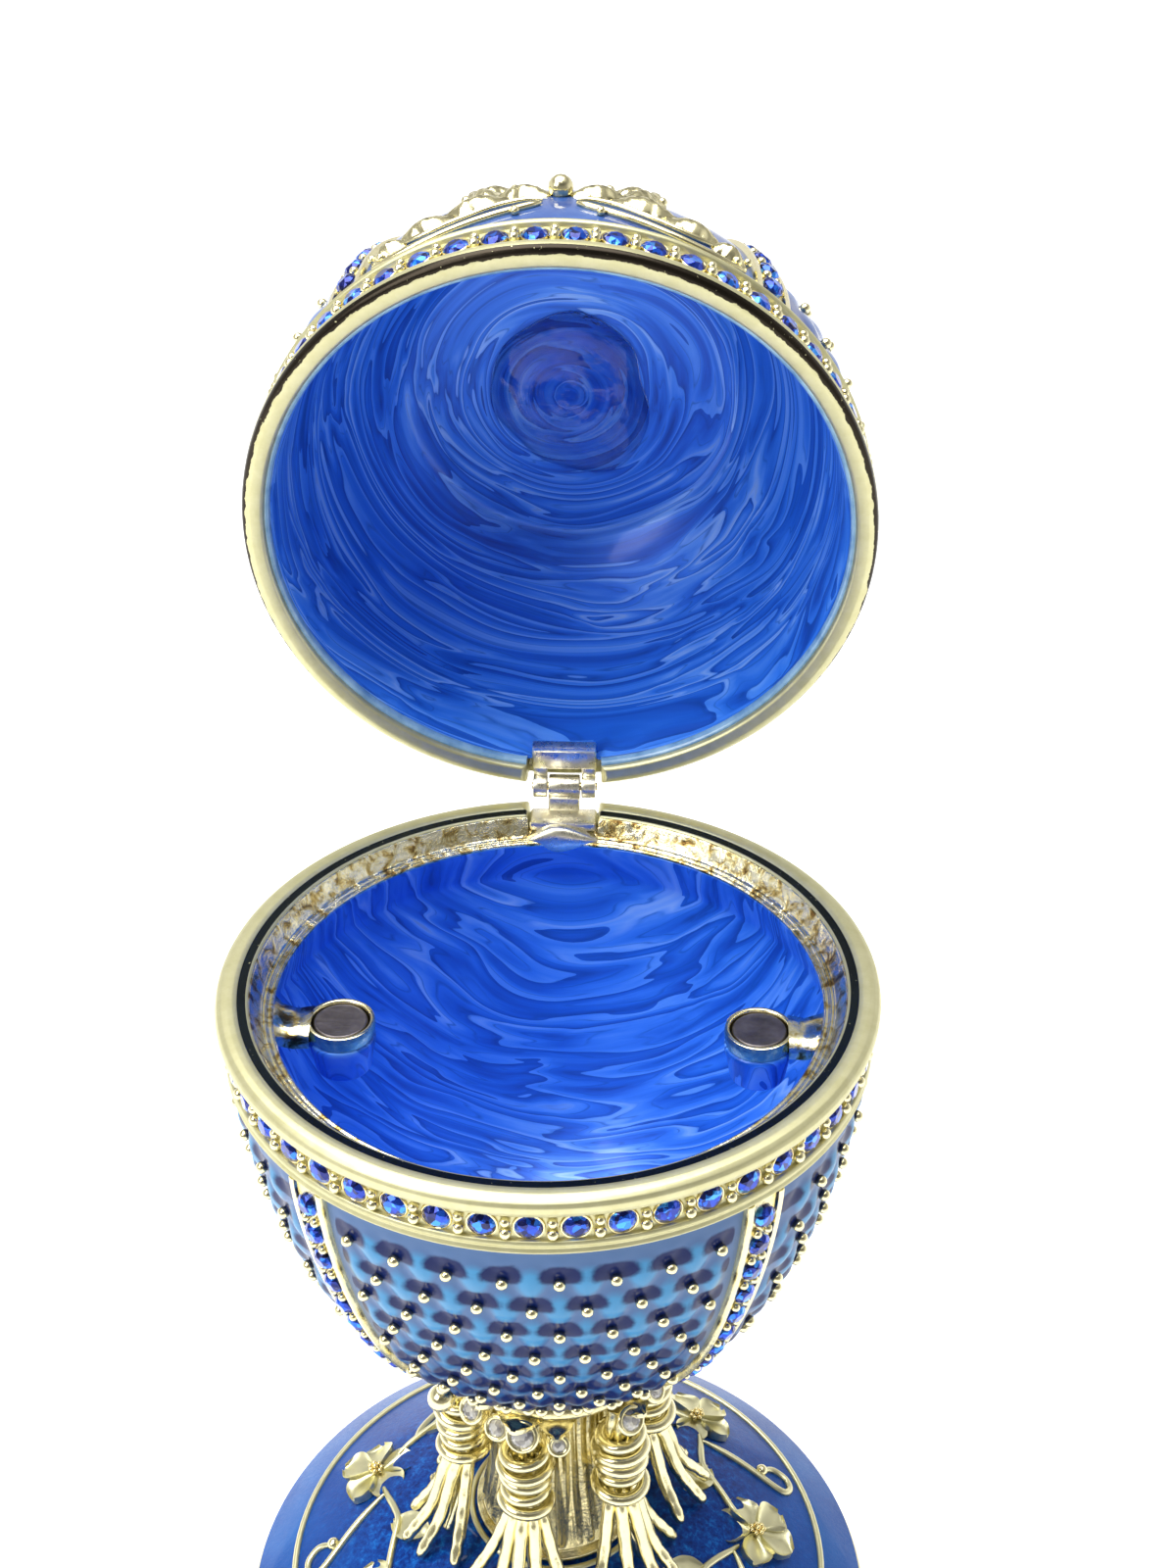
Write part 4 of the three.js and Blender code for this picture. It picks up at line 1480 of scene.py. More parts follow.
@dataclass
class Decoration:
    """Ribs, stone bands and trellis beads of one half of the egg."""

    shop: PieceShop
    wall: Wall
    prefix: str
    rail_section: tuple[Point2, ...] = (
        (-0.5, -0.5), (-0.5, 0.22), (-0.38, 0.5), (0.0, 0.58), (0.38, 0.5), (0.5, 0.22),
        (0.5, -0.5))
    rail_width: float = 0.95
    stone_gap: float = 3.75

    def half_width(self, distance: np.ndarray | float) -> np.ndarray:
        """Half of a rib's width at a distance from the edge."""
        radius = self.wall.at(distance)[0]
        return np.maximum(SIZES.rib_half_width * radius / self.wall.profile[0, 0], 1.0)

    def ribs(self, reach: float) -> None:
        """Makes rails, channel floors, stones and beads of the four ribs.

        Args:
            reach: how far along the wall the ribs run.
        """
        rails, floors, stones, beads = [], [], [], []
        distance = np.linspace(0.05, reach, 48)
        stone_places = self.stone_places(reach)
        for azimuth in SIZES.rib_azimuths:
            half = self.half_width(distance)
            radius = self.wall.at(distance)[0]
            for side in (-1, 1):
                shift = np.degrees(side * (half - self.rail_width / 2) / radius)
                path = self.wall.place(distance, azimuth + shift)
                normals = self.wall.normal(distance, azimuth + shift)
                taper = np.interp(distance, [0, reach], [1.0, 0.62])
                rails.append(swept(path, normals, list(self.rail_section),
                                   self.rail_width * taper))
            floor = [(-1.0, -0.5), (-1.0, 0.14), (1.0, 0.14), (1.0, -0.5)]
            floors.append(swept(self.wall.place(distance, azimuth),
                                self.wall.normal(distance, azimuth), floor,
                                half - 0.5 * self.rail_width))
            stones += self.rib_stones(azimuth, stone_places)
            beads += self.rib_beads(azimuth, stone_places)
        self.shop.piece(self.prefix + "_rib_rails", together(rails), POLISHED, Slot.GOLD)
        self.shop.piece(self.prefix + "_rib_channels", together(floors), ANTIQUE, Slot.GOLD)
        self.shop.scattered(self.prefix + "_rib_stones", stone_model(), stones, SAPPHIRE,
                            Slot.SAPPHIRE, 0.0)
        self.shop.scattered(self.prefix + "_rib_beads", bead_model(), beads, POLISHED,
                            Slot.GOLD)

    def stone_places(self, reach: float) -> list[tuple[float, float]]:
        """Gives the distance and radius of each stone of a rib, smaller along the rib."""
        places = []
        distance = 2.5
        while distance < reach - 1.5:
            size = min(1.28, 0.66 * (float(self.half_width(distance)) - 0.35))
            places.append((distance, size))
            distance += self.stone_gap * size / 1.28 + 0.35
        return places

    def rib_stones(self, azimuth: float, places: list[tuple[float, float]]) -> list[Seat]:
        """Gives the seats of one rib's stones."""
        return [Seat(self.wall.place(distance, azimuth, 0.42),
                     self.wall.normal(distance, azimuth), (size,) * 3)
                for distance, size in places]

    def rib_beads(self, azimuth: float, places: list[tuple[float, float]]) -> list[Seat]:
        """Gives the seats of the bead pairs between one rib's stones."""
        seats = []
        for (here, size), (after, _) in zip(places, places[1:]):
            distance = (here + after) / 2
            radius = float(self.wall.at(distance)[0])
            for side in (-1, 1):
                turn = azimuth + side * math.degrees(0.42 * size / radius * 1.28)
                seats.append(Seat(self.wall.place(distance, turn, 0.42),
                                  self.wall.normal(distance, turn), (0.4 * size,) * 3))
        return seats

    def band(self, count: int, radius: float, height: float, phase: float = 0.0) -> None:
        """Makes the ring of stones and the bead pairs between them.

        Args:
            count: stones round the egg.
            radius: radius that they stand on.
            height: their height above the seat.
            phase: share of a pitch that the first stone is turned from the front.
        """
        stones, beads, settings = [], [], []
        rise = np.array([0.0, 0.0, 1.0])
        for i in range(count):
            azimuth = 360.0 * (i + phase) / count
            between = azimuth + 180.0 / count
            out = polar(1.0, azimuth, 0.0)
            centre = polar(radius, azimuth, SIZES.seat_z + height)
            stones.append(Seat(centre, out, (1.38, 1.38, 1.15)))
            settings.append(self.setting(centre - 0.02 * out, out, 1.46))
            for side in (-1, 1):
                spot = polar(radius + 0.22, between, SIZES.seat_z + height + side * 0.7)
                grow = 0.64 if side < 0 else 0.54
                beads.append(Seat(spot, rise, (grow, grow, grow)))
        self.shop.scattered(self.prefix + "_band_stones", stone_model(), stones, SAPPHIRE,
                            Slot.SAPPHIRE, 0.0)
        self.shop.scattered(self.prefix + "_band_beads", bead_model(), beads, POLISHED,
                            Slot.GOLD)
        self.shop.wired(self.prefix + "_band_settings", settings, BRIGHT, Slot.GOLD, 6)

    def setting(self, centre: np.ndarray, out: np.ndarray, radius: float) -> Line:
        """Gives the ring that holds a stone.

        Args:
            centre: the stone's centre.
            out: the way that the stone faces.
            radius: the ring's radius.

        Returns:
            The line.
        """
        angle = np.radians(np.arange(0, 360, 18))
        circle = np.stack([np.cos(angle), np.sin(angle), 0 * angle], -1) * radius
        turn = np.array(Seat(centre, out, (1.0, 1.0, 1.0)).frame())
        return Line(centre + circle @ turn.T, 0.15, True)

    def trellis(self, panels: list[tuple[float, float]], rows: int, first: float,
                size: float) -> None:
        """Makes the staggered beads of the quilted panels.

        Args:
            panels: middle azimuth and half angle of each panel.
            rows: rows of beads.
            first: distance of the first row from the edge.
            size: radius of a bead.
        """
        seats = []
        for middle, half in panels:
            for row in range(rows):
                distance = first + row * SIZES.row_pitch
                offset = SIZES.bead_pitch / 2 if row % 2 == 0 else 0.0
                limit = half - self.rib_angle(distance) - 3.0
                for step in range(-6, 7):
                    azimuth = step * SIZES.bead_pitch + offset
                    if abs(azimuth) < limit:
                        seats.append(Seat(
                            self.wall.place(distance, middle + azimuth, 0.22),
                            self.wall.normal(distance, middle + azimuth), (size,) * 3))
        self.shop.scattered(self.prefix + "_trellis_beads", bead_model(12, 8), seats, POLISHED,
                            Slot.GOLD)

    def rib_angle(self, distance: float) -> float:
        """Half of the angle that a rib covers at a distance from the edge."""
        return math.degrees(float(self.half_width(distance) / self.wall.at(distance)[0]))

    def painted_halo(self, distance: np.ndarray, azimuth: np.ndarray,
             panels: list[tuple[float, float]], first: float) -> np.ndarray:
        """Gives the painted dark reflection round the trellis beads, from 0 to 1.

        Args:
            distance: distances from the edge, as a column.
            azimuth: azimuths, as a row.
            panels: middle azimuth and half angle of each quilted panel.
            first: distance of the first row of beads.

        Returns:
            The strength of the painted reflection at each place.
        """
        row = (distance - first + 0.9) / SIZES.row_pitch
        radius = self.wall.at(distance)[0]
        result = np.zeros(np.broadcast_shapes(distance.shape, azimuth.shape))
        for middle, half in panels:
            local = (azimuth - middle + 180.0) % 360.0 - 180.0
            shift = np.where(np.round(row) % 2 == 0, 0.5, 0.0)
            column = local / SIZES.bead_pitch + shift
            aside = (column - np.round(column)) * SIZES.bead_pitch * np.pi / 180 * radius
            along = (row - np.round(row)) * SIZES.row_pitch
            painted_spot = np.exp(-((aside / 2.2) ** 2 + (along / 1.35) ** 2))
            rib = np.degrees(self.half_width(distance) / np.maximum(radius, 1.0))
            inside = np.abs(local) < half - rib - 1.0
            result = np.maximum(result, painted_spot * inside * (row > -0.4))
        return result

    def quilt(self, distance: np.ndarray, azimuth: np.ndarray,
              panels: list[tuple[float, float]], first: float) -> np.ndarray:
        """Gives the swell of the tufted enamel, from 0 in the dips to 1 on the crests.

        Args:
            distance: distances from the edge, as a column.
            azimuth: azimuths, as a row.
            panels: middle azimuth and half angle of each quilted panel.
            first: distance of the first row of beads.

        Returns:
            The swell at each place.
        """
        swell = np.zeros(np.broadcast_shapes(distance.shape, azimuth.shape))
        row = (distance - first) / SIZES.row_pitch
        rib = np.degrees(self.half_width(distance) / np.maximum(self.wall.at(distance)[0], 1.0))
        for middle, half in panels:
            local = (azimuth - middle + 180.0) % 360.0 - 180.0
            column = local / SIZES.bead_pitch + 0.5
            lattice = (np.cos(np.pi * row) - np.cos(2 * np.pi * column)) / 2
            puff = (lattice ** 2) ** 0.62
            edge = np.clip((half - rib - np.abs(local)) / 5.0, 0.0, 1.0)
            swell = np.maximum(swell, puff * edge * edge * (3 - 2 * edge))
        top = np.clip((distance - 1.2) / 2.2, 0.0, 1.0)
        return swell * top


# Bowl

@dataclass
class EggBowl:
    """Lower half of the egg: enamelled wall, gold rim with its lip, stones, lining, magnets."""

    shop: PieceShop
    radius: float = 33.9
    top: float = -7.0
    depth: float = 42.5
    flatness: float = 1.45
    fullness: float = 3.17
    puff: float = 0.55
    first_row: float = 4.6
    stones: int = 48
    channel_radius: float = 33.85
    band_height: float = -3.95
    rib_short: float = 17.0
    trellis_rows: int = 10
    bead_radius: float = 0.64
    magnet_radius: float = 2.96
    magnet_depth: float = 1.6
    post_depth: float = 6.2
    magnet_x: float = 22.5
    magnet_top: float = -6.8
    segments: int = 480
    marble: MarbledEnamel = MarbledEnamel("enamel_marbled_bowl", Drag.ACROSS, 11.0)

    def __post_init__(self) -> None:
        """Draws the walls."""
        self.outside = egg_wall(self.radius, self.top, -self.depth, self.flatness, self.fullness)
        self.inside = egg_wall(self.radius - SIZES.wall, self.top, SIZES.wall - self.depth,
                               self.flatness, self.fullness)
        self.panels = [(0.0, 41.0), (90.0, 49.0), (180.0, 41.0), (-90.0, 49.0)]
        self.trim = Decoration(self.shop, self.outside, "bowl")

    def build(self) -> None:
        """Makes every piece of the bowl."""
        self.enamel()
        self.rim()
        self.lining()
        self.trim.band(self.stones, self.channel_radius, self.band_height)
        self.trim.ribs(self.outside.length - self.rib_short)
        self.trim.trellis(self.panels, self.trellis_rows, self.first_row, self.bead_radius)
        for side in (-1, 1):
            self.magnet(side)

    def enamel(self) -> None:
        """Makes the quilted outer wall."""
        rows = 120
        distance = np.linspace(self.outside.length, 0.0, rows)
        outer = np.stack(self.outside.at(distance), -1)
        outer[0, 0] = 0.0
        back = np.linspace(0.0, self.outside.length, 12)
        inner = np.stack(self.outside.at(back), -1)
        inner -= 0.9 * np.stack([np.ones(12), np.zeros(12)], -1)
        inner[:, 0] = np.maximum(inner[:, 0], 0.0)
        inner[:, 1] += np.interp(back, [0, self.outside.length], [0.0, 0.9])
        inner[-1, 0] = 0.0
        azimuth = 360.0 * np.arange(self.segments) / self.segments
        swell = self.trim.quilt(distance[:, None], azimuth[None, :], self.panels,
                                self.first_row)
        swell = swell * np.clip((self.outside.length - distance[:, None] - 12) / 6, 0, 1)
        hidden = np.zeros((12, self.segments))
        lift = np.vstack([swell, hidden])
        flow = np.concatenate([distance, back])[:, None] + np.zeros((1, self.segments))
        # Strength of the painted dark reflection round each bead, for the finish.
        painted_halo = np.vstack([self.trim.painted_halo(distance[:, None], azimuth[None, :], self.panels,
                                         self.first_row), hidden])
        shape = turned(np.vstack([outer, inner]), self.segments, Ends.POLES,
                       self.puff * (lift - 0.35), {"lift": lift, "flow": flow, "painted_halo": painted_halo})
        # Colours in order: ground, swell tops with their painted reflection, the painted dark
        # reflection round the beads, and the darker tone towards the foot.
        finish = QuiltEnamel("enamel_teal_quilt", (0.075, 0.15, 0.32), (0.060, 0.26, 0.50),
                             (0.001, 0.010, 0.085), (0.002, 0.050, 0.20), 15.0, 31.0)
        piece = self.shop.piece("bowl_enamel", shape, finish, Slot.TEAL)
        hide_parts("bowl")

    def rim(self) -> None:
        """Makes the gold ring with its channel, seat and raised lip, and the rough throat."""
        seat = SIZES.seat_z
        notch = Notch(seat - 2.0, seat + 0.06)
        outline = [
            (33.1, -7.35), (34.1, -7.2), (34.45, -6.8), (34.2, -6.4), (34.2, -6.2),
            (34.5, -5.85), (34.3, -5.45), (33.8, -5.4), (33.8, -2.45), (34.35, -2.3),
            (34.75, -1.9), (35.0, -1.3), (34.97, -0.75), (34.75, -0.35), (34.3, -0.06),
            (33.7, 0.05), (33.1, 0.02), (32.72, -0.1), (32.62, -0.22), (31.75, -0.22),
            (31.5, -0.36), (31.45, -0.7), (31.6, -1.0), (31.6, -2.4), (32.2, -7.3)]
        # The band's dark teal is a painted reflection of the lid's inside in the lip's top.
        band = BandedGold("gold_bowl_rim", 31.76, 32.66, 0.0, 0.04, seat - 0.4, seat + 2.0,
                          (0.008, 0.013, 0.016))
        self.shop.piece("bowl_rim", notch.ring(outline, 0.09), band, Slot.GOLD, 42.0)
        throat = [
            (31.58, -0.5), (31.44, -0.42), (31.3, -0.6), (30.42, -2.35), (30.2, -2.56),
            (30.0, -2.45), (29.8, -2.5), (29.7, -2.72), (29.5, -2.7), (29.3, -2.62),
            (29.1, -2.8), (29.12, -3.1), (31.55, -3.1)]
        self.shop.piece("bowl_throat", notch.ring(throat, 0.09), ROUGH, Slot.GOLD, 50.0)

    def lining(self) -> None:
        """Makes the marbled inside, thicker where it meets the throat's ledge."""
        seat = SIZES.seat_z
        rows = 56
        distance = np.linspace(1.9, self.inside.length, rows)
        wall = np.stack(self.inside.at(distance), -1)
        wall[-1, 0] = 0.0
        edge = [(31.4, seat - 2.95), (29.3, seat - 2.95), (29.14, seat - 3.15),
                (29.3, seat - 3.9), (29.85, seat - 5.3), (30.5, seat - 7.0),
                (31.0, seat - 8.2)]
        back = np.linspace(self.inside.length, 0.0, 10)
        behind = np.stack(self.inside.at(back), -1)
        behind[:, 0] += 0.7
        behind[:, 1] -= np.interp(back, [0, self.inside.length], [0.0, 0.7])
        behind[0, 0] = 0.0
        line = np.vstack([wall[::-1], np.array(edge)[::-1], behind[::-1]])
        shape = turned(line, 160, Ends.POLES)
        self.shop.piece("bowl_lining", shape, self.marble, Slot.LINING)

    def magnet(self, side: int) -> None:
        """Makes one magnet with its boss and bridge.

        Args:
            side: -1 for the left, 1 for the right.
        """
        label = "left" if side < 0 else "right"
        top = SIZES.seat_z + self.magnet_top
        centre = Matrix.Translation((side * self.magnet_x, 0.0, 0.0))
        cup = rounded([(2.9, top - 1.6), (3.6, top - 1.7), (3.75, top - 0.5), (3.66, top + 0.12),
                       (3.3, top + 0.16), (3.12, top - 0.1), (3.08, top - 1.4)], 0.12, 2)
        self.shop.piece(f"magnet_cup_{label}", turned(cup, 48).moved(centre), POLISHED,
                        Slot.GOLD)
        post = [(0.0, top - self.post_depth), (3.0, top - self.post_depth), (3.3, top - 4.2),
                (3.75, top - 2.2), (3.6, top - 1.7), (0.0, top - 1.7)]
        post = rounded(post, 0.4, 3, closed=False)
        shape = turned(post, 48, Ends.POLES).moved(centre)
        self.shop.piece(f"magnet_post_{label}", shape, self.marble, Slot.LINING)
        low = top - self.magnet_depth
        disc = rounded([(0.0, low), (self.magnet_radius, low), (self.magnet_radius, top - 0.25),
                        (2.82, top - 0.02), (2.6, top - 0.06), (0.0, top - 0.06)], 0.1, 2,
                       closed=False)
        piece = self.shop.piece(f"magnet_{label}_disc", turned(disc, 48, Ends.POLES).moved(centre),
                                NickelMagnet(), Slot.MAGNET)
        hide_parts(f"magnet_{label}")
        self.bridge(side, label, top)

    def bridge(self, side: int, label: str, top: float) -> None:
        """Makes the rough bridge from the boss to the wall.

        Args:
            side: -1 for the left, 1 for the right.
            label: left or right.
            top: height of the magnet.
        """
        count = 10
        x = side * np.linspace(self.magnet_x + 3.1, 31.0, count)
        sag = np.interp(np.arange(count), [0, 3, 6, 9], [0.0, -0.25, 0.3, 2.2])
        path = np.stack([x, np.zeros(count), top + sag], -1)
        normals = np.tile([0.0, 0.0, 1.0], (count, 1))
        section = [(-1.0, -1.0), (-1.02, -0.3), (-0.86, 0.02), (-0.4, 0.16), (0.3, 0.12),
                   (0.8, 0.04), (1.02, -0.3), (1.0, -1.0)]
        widths = np.interp(np.arange(count), [0, 3, 6, 9], [2.9, 2.7, 2.9, 3.6])
        heights = np.full(count, 1.7)
        shape = swept(path, normals, section, widths, heights)
        self.shop.piece(f"magnet_bridge_{label}", shape, ROUGH, Slot.GOLD, 70.0)


# Lid

@dataclass
class EggLid:
    """Upper half of the egg, shaped shut and turned open.

    A leaf of the scrolls is given as distance, azimuth, heading, length and half width, and a
    ball as distance, azimuth and radius.
    """

    shop: PieceShop
    radius: float = 33.6
    start: float = 7.3
    depth: float = 34.7
    flatness: float = 2.1
    fullness: float = 2.0
    pool: float = 32.5
    stones: int = 52
    channel_radius: float = 33.7
    band_height: float = 4.75
    rib_short: float = 6.0
    trellis_rows: int = 9
    bead_radius: float = 0.6
    resin_radius: float = 10.0
    resin_depth: float = 1.7
    leaves: tuple[tuple[float, ...], ...] = (
        (9.2, 1.6, 78, 6.2, 1.7), (8.6, 9.5, 100, 7.0, 2.1), (6.6, 19.5, 108, 6.6, 2.0),
        (4.6, 28.0, 112, 4.6, 1.5), (10.5, 12.0, 40, 6.0, 1.7),
        (13.5, 17.5, 10, 6.4, 1.6), (14.8, 18.5, -60, 5.0, 1.4))
    balls: tuple[tuple[float, float, float], ...] = (
        (2.6, 33.0, 0.55), (4.2, 35.5, 0.5), (3.2, 7.5, 0.5), (12.6, 9.0, 0.6),
        (15.5, 20.0, 0.6))
    puff: float = 0.36
    first_row: float = 4.4
    segments: int = 400
    marble: MarbledEnamel = MarbledEnamel("enamel_marbled_lid", Drag.AROUND, 47.0)

    def __post_init__(self) -> None:
        """Draws the walls."""
        self.outside = egg_wall(self.radius, self.start, self.depth, self.flatness,
                                self.fullness)
        self.inside = egg_wall(self.radius - SIZES.wall, self.start, self.depth - SIZES.wall,
                               self.flatness, self.fullness)
        self.side_panels = [(90.0, 49.0), (-90.0, 49.0)]
        self.trim = Decoration(self.shop, self.outside, "lid")

    def build(self) -> None:
        """Makes every piece of the lid."""
        self.enamel()
        self.rim()
        self.lining()
        self.resin()
        self.trim.band(self.stones, self.channel_radius, self.band_height, 0.5)
        self.trim.ribs(self.outside.length - self.rib_short)
        self.trim.trellis(self.side_panels, self.trellis_rows, self.first_row,
                          self.bead_radius)
        self.scrolls()
        self.crown()

    def enamel(self) -> None:
        """Makes the outer wall."""
        rows = 96
        distance = np.linspace(0.0, self.outside.length, rows)
        outer = np.stack(self.outside.at(distance), -1)
        outer[-1, 0] = 0.0
        back = np.linspace(self.outside.length, 0.0, 12)
        inner = np.stack(self.outside.at(back), -1)
        inner[:, 0] = np.maximum(inner[:, 0] - 0.9, 0.0)
        inner[:, 1] -= np.interp(back, [0, self.outside.length], [0.0, 0.9])
        inner[0, 0] = 0.0
        azimuth = 360.0 * np.arange(self.segments) / self.segments
        swell = self.trim.quilt(distance[:, None], azimuth[None, :], self.side_panels,
                                self.first_row)
        swell = swell * np.clip((self.outside.length - distance[:, None] - 10) / 6, 0, 1)
        lift = np.vstack([swell[::-1], np.zeros((12, self.segments))])
        line = np.vstack([outer[::-1], inner[::-1]])
        # The finish also reads the stored lift to paint the swells' tops paler, a painted
        # reflection.
        shape = turned(line, self.segments, Ends.POLES, self.puff * (lift - 0.25),
                       {"lift": lift})
        piece = self.shop.piece("lid_enamel", shape, VaultEnamel(), Slot.LAVENDER)
        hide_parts("lid")

    def rim(self) -> None:
        """Makes the gold ring: flat face, round collar, channel and border."""
        seat = SIZES.seat_z
        notch = Notch(seat + 2.9, seat + 0.2, half=4.4)
        outline = [
            (32.0, 1.2), (32.12, 0.6), (32.35, 0.3), (33.5, 0.21), (34.0, 0.3), (34.35, 0.55),
            (34.5, 1.0), (34.55, 1.6), (34.38, 2.25), (33.95, 2.65), (33.6, 2.8),
            (33.6, 6.55), (34.1, 6.65), (34.3, 6.95), (34.2, 7.4), (33.9, 7.75),
            (33.2, 7.8), (32.3, 7.5), (31.75, 1.9)]
        # The band's dark colour is a painted reflection on the rim's face.
        band = BandedGold("gold_lid_rim", 33.62, 34.62, 0.42, 0.9, seat - 9.0, seat + 1.0)
        self.shop.piece("lid_rim", notch.ring(outline, 0.12), band, Slot.GOLD, 42.0)
        edge = [(32.15, 0.95), (31.85, 0.9), (31.6, 1.15), (31.5, 1.6), (31.6, 2.3),
                (32.1, 2.3)]
        self.shop.piece("lid_enamel_edge", notch.ring(edge, 0.12, 3), MENISCUS, Slot.LINING,
                        42.0)

    def lining(self) -> None:
        """Makes the marbled inside, with the enamel that pooled in the crown."""
        seat = SIZES.seat_z
        rows = 56
        distance = np.linspace(1.2, self.inside.length, rows)
        wall = np.stack(self.inside.at(distance), -1)
        wall[:, 1] = np.minimum(wall[:, 1], seat + self.pool)
        wall[-1, 0] = 0.0
        edge = [(32.0, seat + 1.9), (31.5, seat + 1.9), (31.3, seat + 2.4),
                (31.05, seat + 5.0)]
        back = np.linspace(self.inside.length, 0.0, 10)
        behind = np.stack(self.inside.at(back), -1)
        behind[:, 0] += 0.6
        behind[:, 1] += np.interp(back, [0, self.inside.length], [0.0, 0.6])
        behind[0, 0] = 0.0
        line = np.vstack([wall[::-1], np.array(edge)[::-1], behind[::-1]])
        flow = np.concatenate([self.inside.length - distance[::-1],
                               self.inside.length + np.arange(4.0), np.full(10, 0.0)])
        segments = 240
        azimuth = 360.0 * np.arange(segments) / segments
        across = line[:, :1] * np.sin(np.radians(azimuth))[None, :]
        behind_hinge = np.cos(np.radians(azimuth))[None, :] < 0
        height = line[:, 1:] - seat
        pad = (np.clip((4.6 - np.abs(across)) / 1.2, 0, 1) * behind_hinge
               * np.clip((8.0 - height) / 2.5, 0, 1) * np.clip((height - 1.2) / 0.6, 0, 1))
        pad[-10:] = 0.0
        shape = turned(line, segments, Ends.POLES, -0.55 * pad,
                       {"flow": flow[:, None] + np.zeros((1, segments))})
        self.shop.piece("lid_lining", shape, self.marble, Slot.LINING)

    def resin(self) -> None:
        """Makes the clear lump of resin under the crown."""
        rings, places = 12, 48
        share = np.linspace(0.0, 1.0, rings)[:, None]
        azimuth = 360.0 * np.arange(places)[None, :] / places
        wobble = (1 + 0.09 * np.cos(np.radians(2 * azimuth + 40))
                  + 0.05 * np.cos(np.radians(3 * azimuth - 70))
                  + 0.02 * np.cos(np.radians(7 * azimuth)))
        radius = self.resin_radius * share * wobble
        ripple = (0.16 * np.sin(0.8 * radius + np.radians(2 * azimuth))
                  + 0.12 * np.sin(np.radians(5 * azimuth)) * share)
        depth = (self.resin_depth + ripple) * (1 - share ** 2) ** 0.7
        level = SIZES.seat_z + self.pool
        face = polar(radius, azimuth, level - 0.15 - depth)
        back = polar(radius * 0.98, azimuth, np.full_like(radius, level - 0.02))[::-1]
        shape = ringed(np.concatenate([face, back[0:1], back[-1:]]), Ends.POLES)
        self.shop.piece("lid_resin", shape, SetResin(), Slot.CRYSTAL, 80.0)

    def scrolls(self) -> None:
        """Makes the acanthus scrolls, arcs and centre ball of the front and back panels."""
        leaves, arcs, balls = [], [], []
        for middle in (0.0, 180.0):
            for side in (-1, 1):
                leaves += self.acanthus(middle, side)
                arcs += self.arcs(middle, side)
                for distance, azimuth, size in self.balls:
                    turn = middle + side * azimuth
                    balls.append(Seat(self.outside.place(distance, turn, 0.3),
                                      self.outside.normal(distance, turn), (size,) * 3))
            balls.append(Seat(self.outside.place(9.4, middle, 0.75),
                              self.outside.normal(9.4, middle), (1.35, 1.35, 1.35)))
        self.shop.piece("lid_acanthus", together(leaves), POLISHED, Slot.GOLD, 60.0)
        self.shop.wired("lid_arcs", arcs, POLISHED, Slot.GOLD)
        self.shop.scattered("lid_scroll_balls", bead_model(12, 8), balls, POLISHED, Slot.GOLD)

    def acanthus(self, middle: float, side: int) -> list[Shape]:
        """Makes one half of a panel's leaf scroll.

        Args:
            middle: azimuth of the panel's middle.
            side: -1 or 1.

        Returns:
            The leaves.
        """
        leaves = []
        for distance, azimuth, heading, reach, half in self.leaves:
            turn = middle + side * azimuth
            up = self.outside.normal(distance, turn)
            outward = self.outside.place(distance + 0.5, turn) - self.outside.place(
                distance - 0.5, turn)
            across = polar(1.0, turn + 90.0, 0.0) * side
            angle = math.radians(heading)
            along = outward * math.cos(angle) + across * math.sin(angle)
            model = leaf_patch(half, reach, 1.15, -0.25, lobes=4, veins=5, root=0.9)
            model = bent_over(model, 0.012)
            seat = Seat(self.outside.place(distance, turn), up, (1.0, 1.0, 1.0), along)
            leaves.append(model.moved(seat_matrix(seat)))
        return leaves

    def arcs(self, middle: float, side: int) -> list[Line]:
        """Makes the wires that sweep from a panel's middle down to its rib.

        Args:
            middle: azimuth of the panel's middle.
            side: -1 or 1.

        Returns:
            The lines.
        """
        lines = []
        for knots, thickness in (
                ([(5.6, 3.2), (4.9, 4.9), (3.9, 8.5), (2.8, 14.0), (1.7, 21.0), (1.3, 28.0),
                  (1.8, 35.0)], 0.42),
                ([(6.6, 3.0), (6.9, 6.0), (6.2, 11.0), (4.6, 17.0), (3.6, 24.0),
                  (4.2, 31.0)], 0.36)):
            line = smooth_line(knots, 40)
            points = self.outside.place(line[:, 0], middle + side * line[:, 1], 0.12)
            lines.append(Line(points, thickness * tapered(40)))
        return lines

    def crown(self) -> None:
        """Makes the rosette on the crown."""
        top = self.outside.profile[-1, 1]
        petals = []
        for i in range(8):
            along = polar(1.0, 45.0 * i, -0.12)
            seat = Seat(polar(0.6, 45.0 * i, top - 0.15), np.array([0.0, 0.0, 1.0]),
                        (1.0, 1.0, 1.0), along)
            model = bent_over(leaf_patch(1.5, 4.9, 0.75, 0.25, veins=4, root=1.2), 0.02)
            petals.append(model.moved(seat_matrix(seat)))
        self.shop.piece("lid_crown_petals", together(petals), POLISHED, Slot.GOLD, 60.0)
        button = rounded([(0.0, top - 1.0), (1.7, top - 1.0), (1.75, top + 0.3),
                          (1.0, top + 0.85), (0.0, top + 0.95)], 0.3, 3, closed=False)
        self.shop.piece("lid_crown_button", turned(button, 32, Ends.POLES), POLISHED,
                        Slot.GOLD)


def tapered(count: int, tip: float = 0.35) -> np.ndarray:
    """Gives a thickness that falls off at both ends of a line."""
    place = np.linspace(0.0, 1.0, count)
    return tip + (1 - tip) * np.clip(6 * np.minimum(place, 1 - place), 0.0, 1.0) ** 0.6


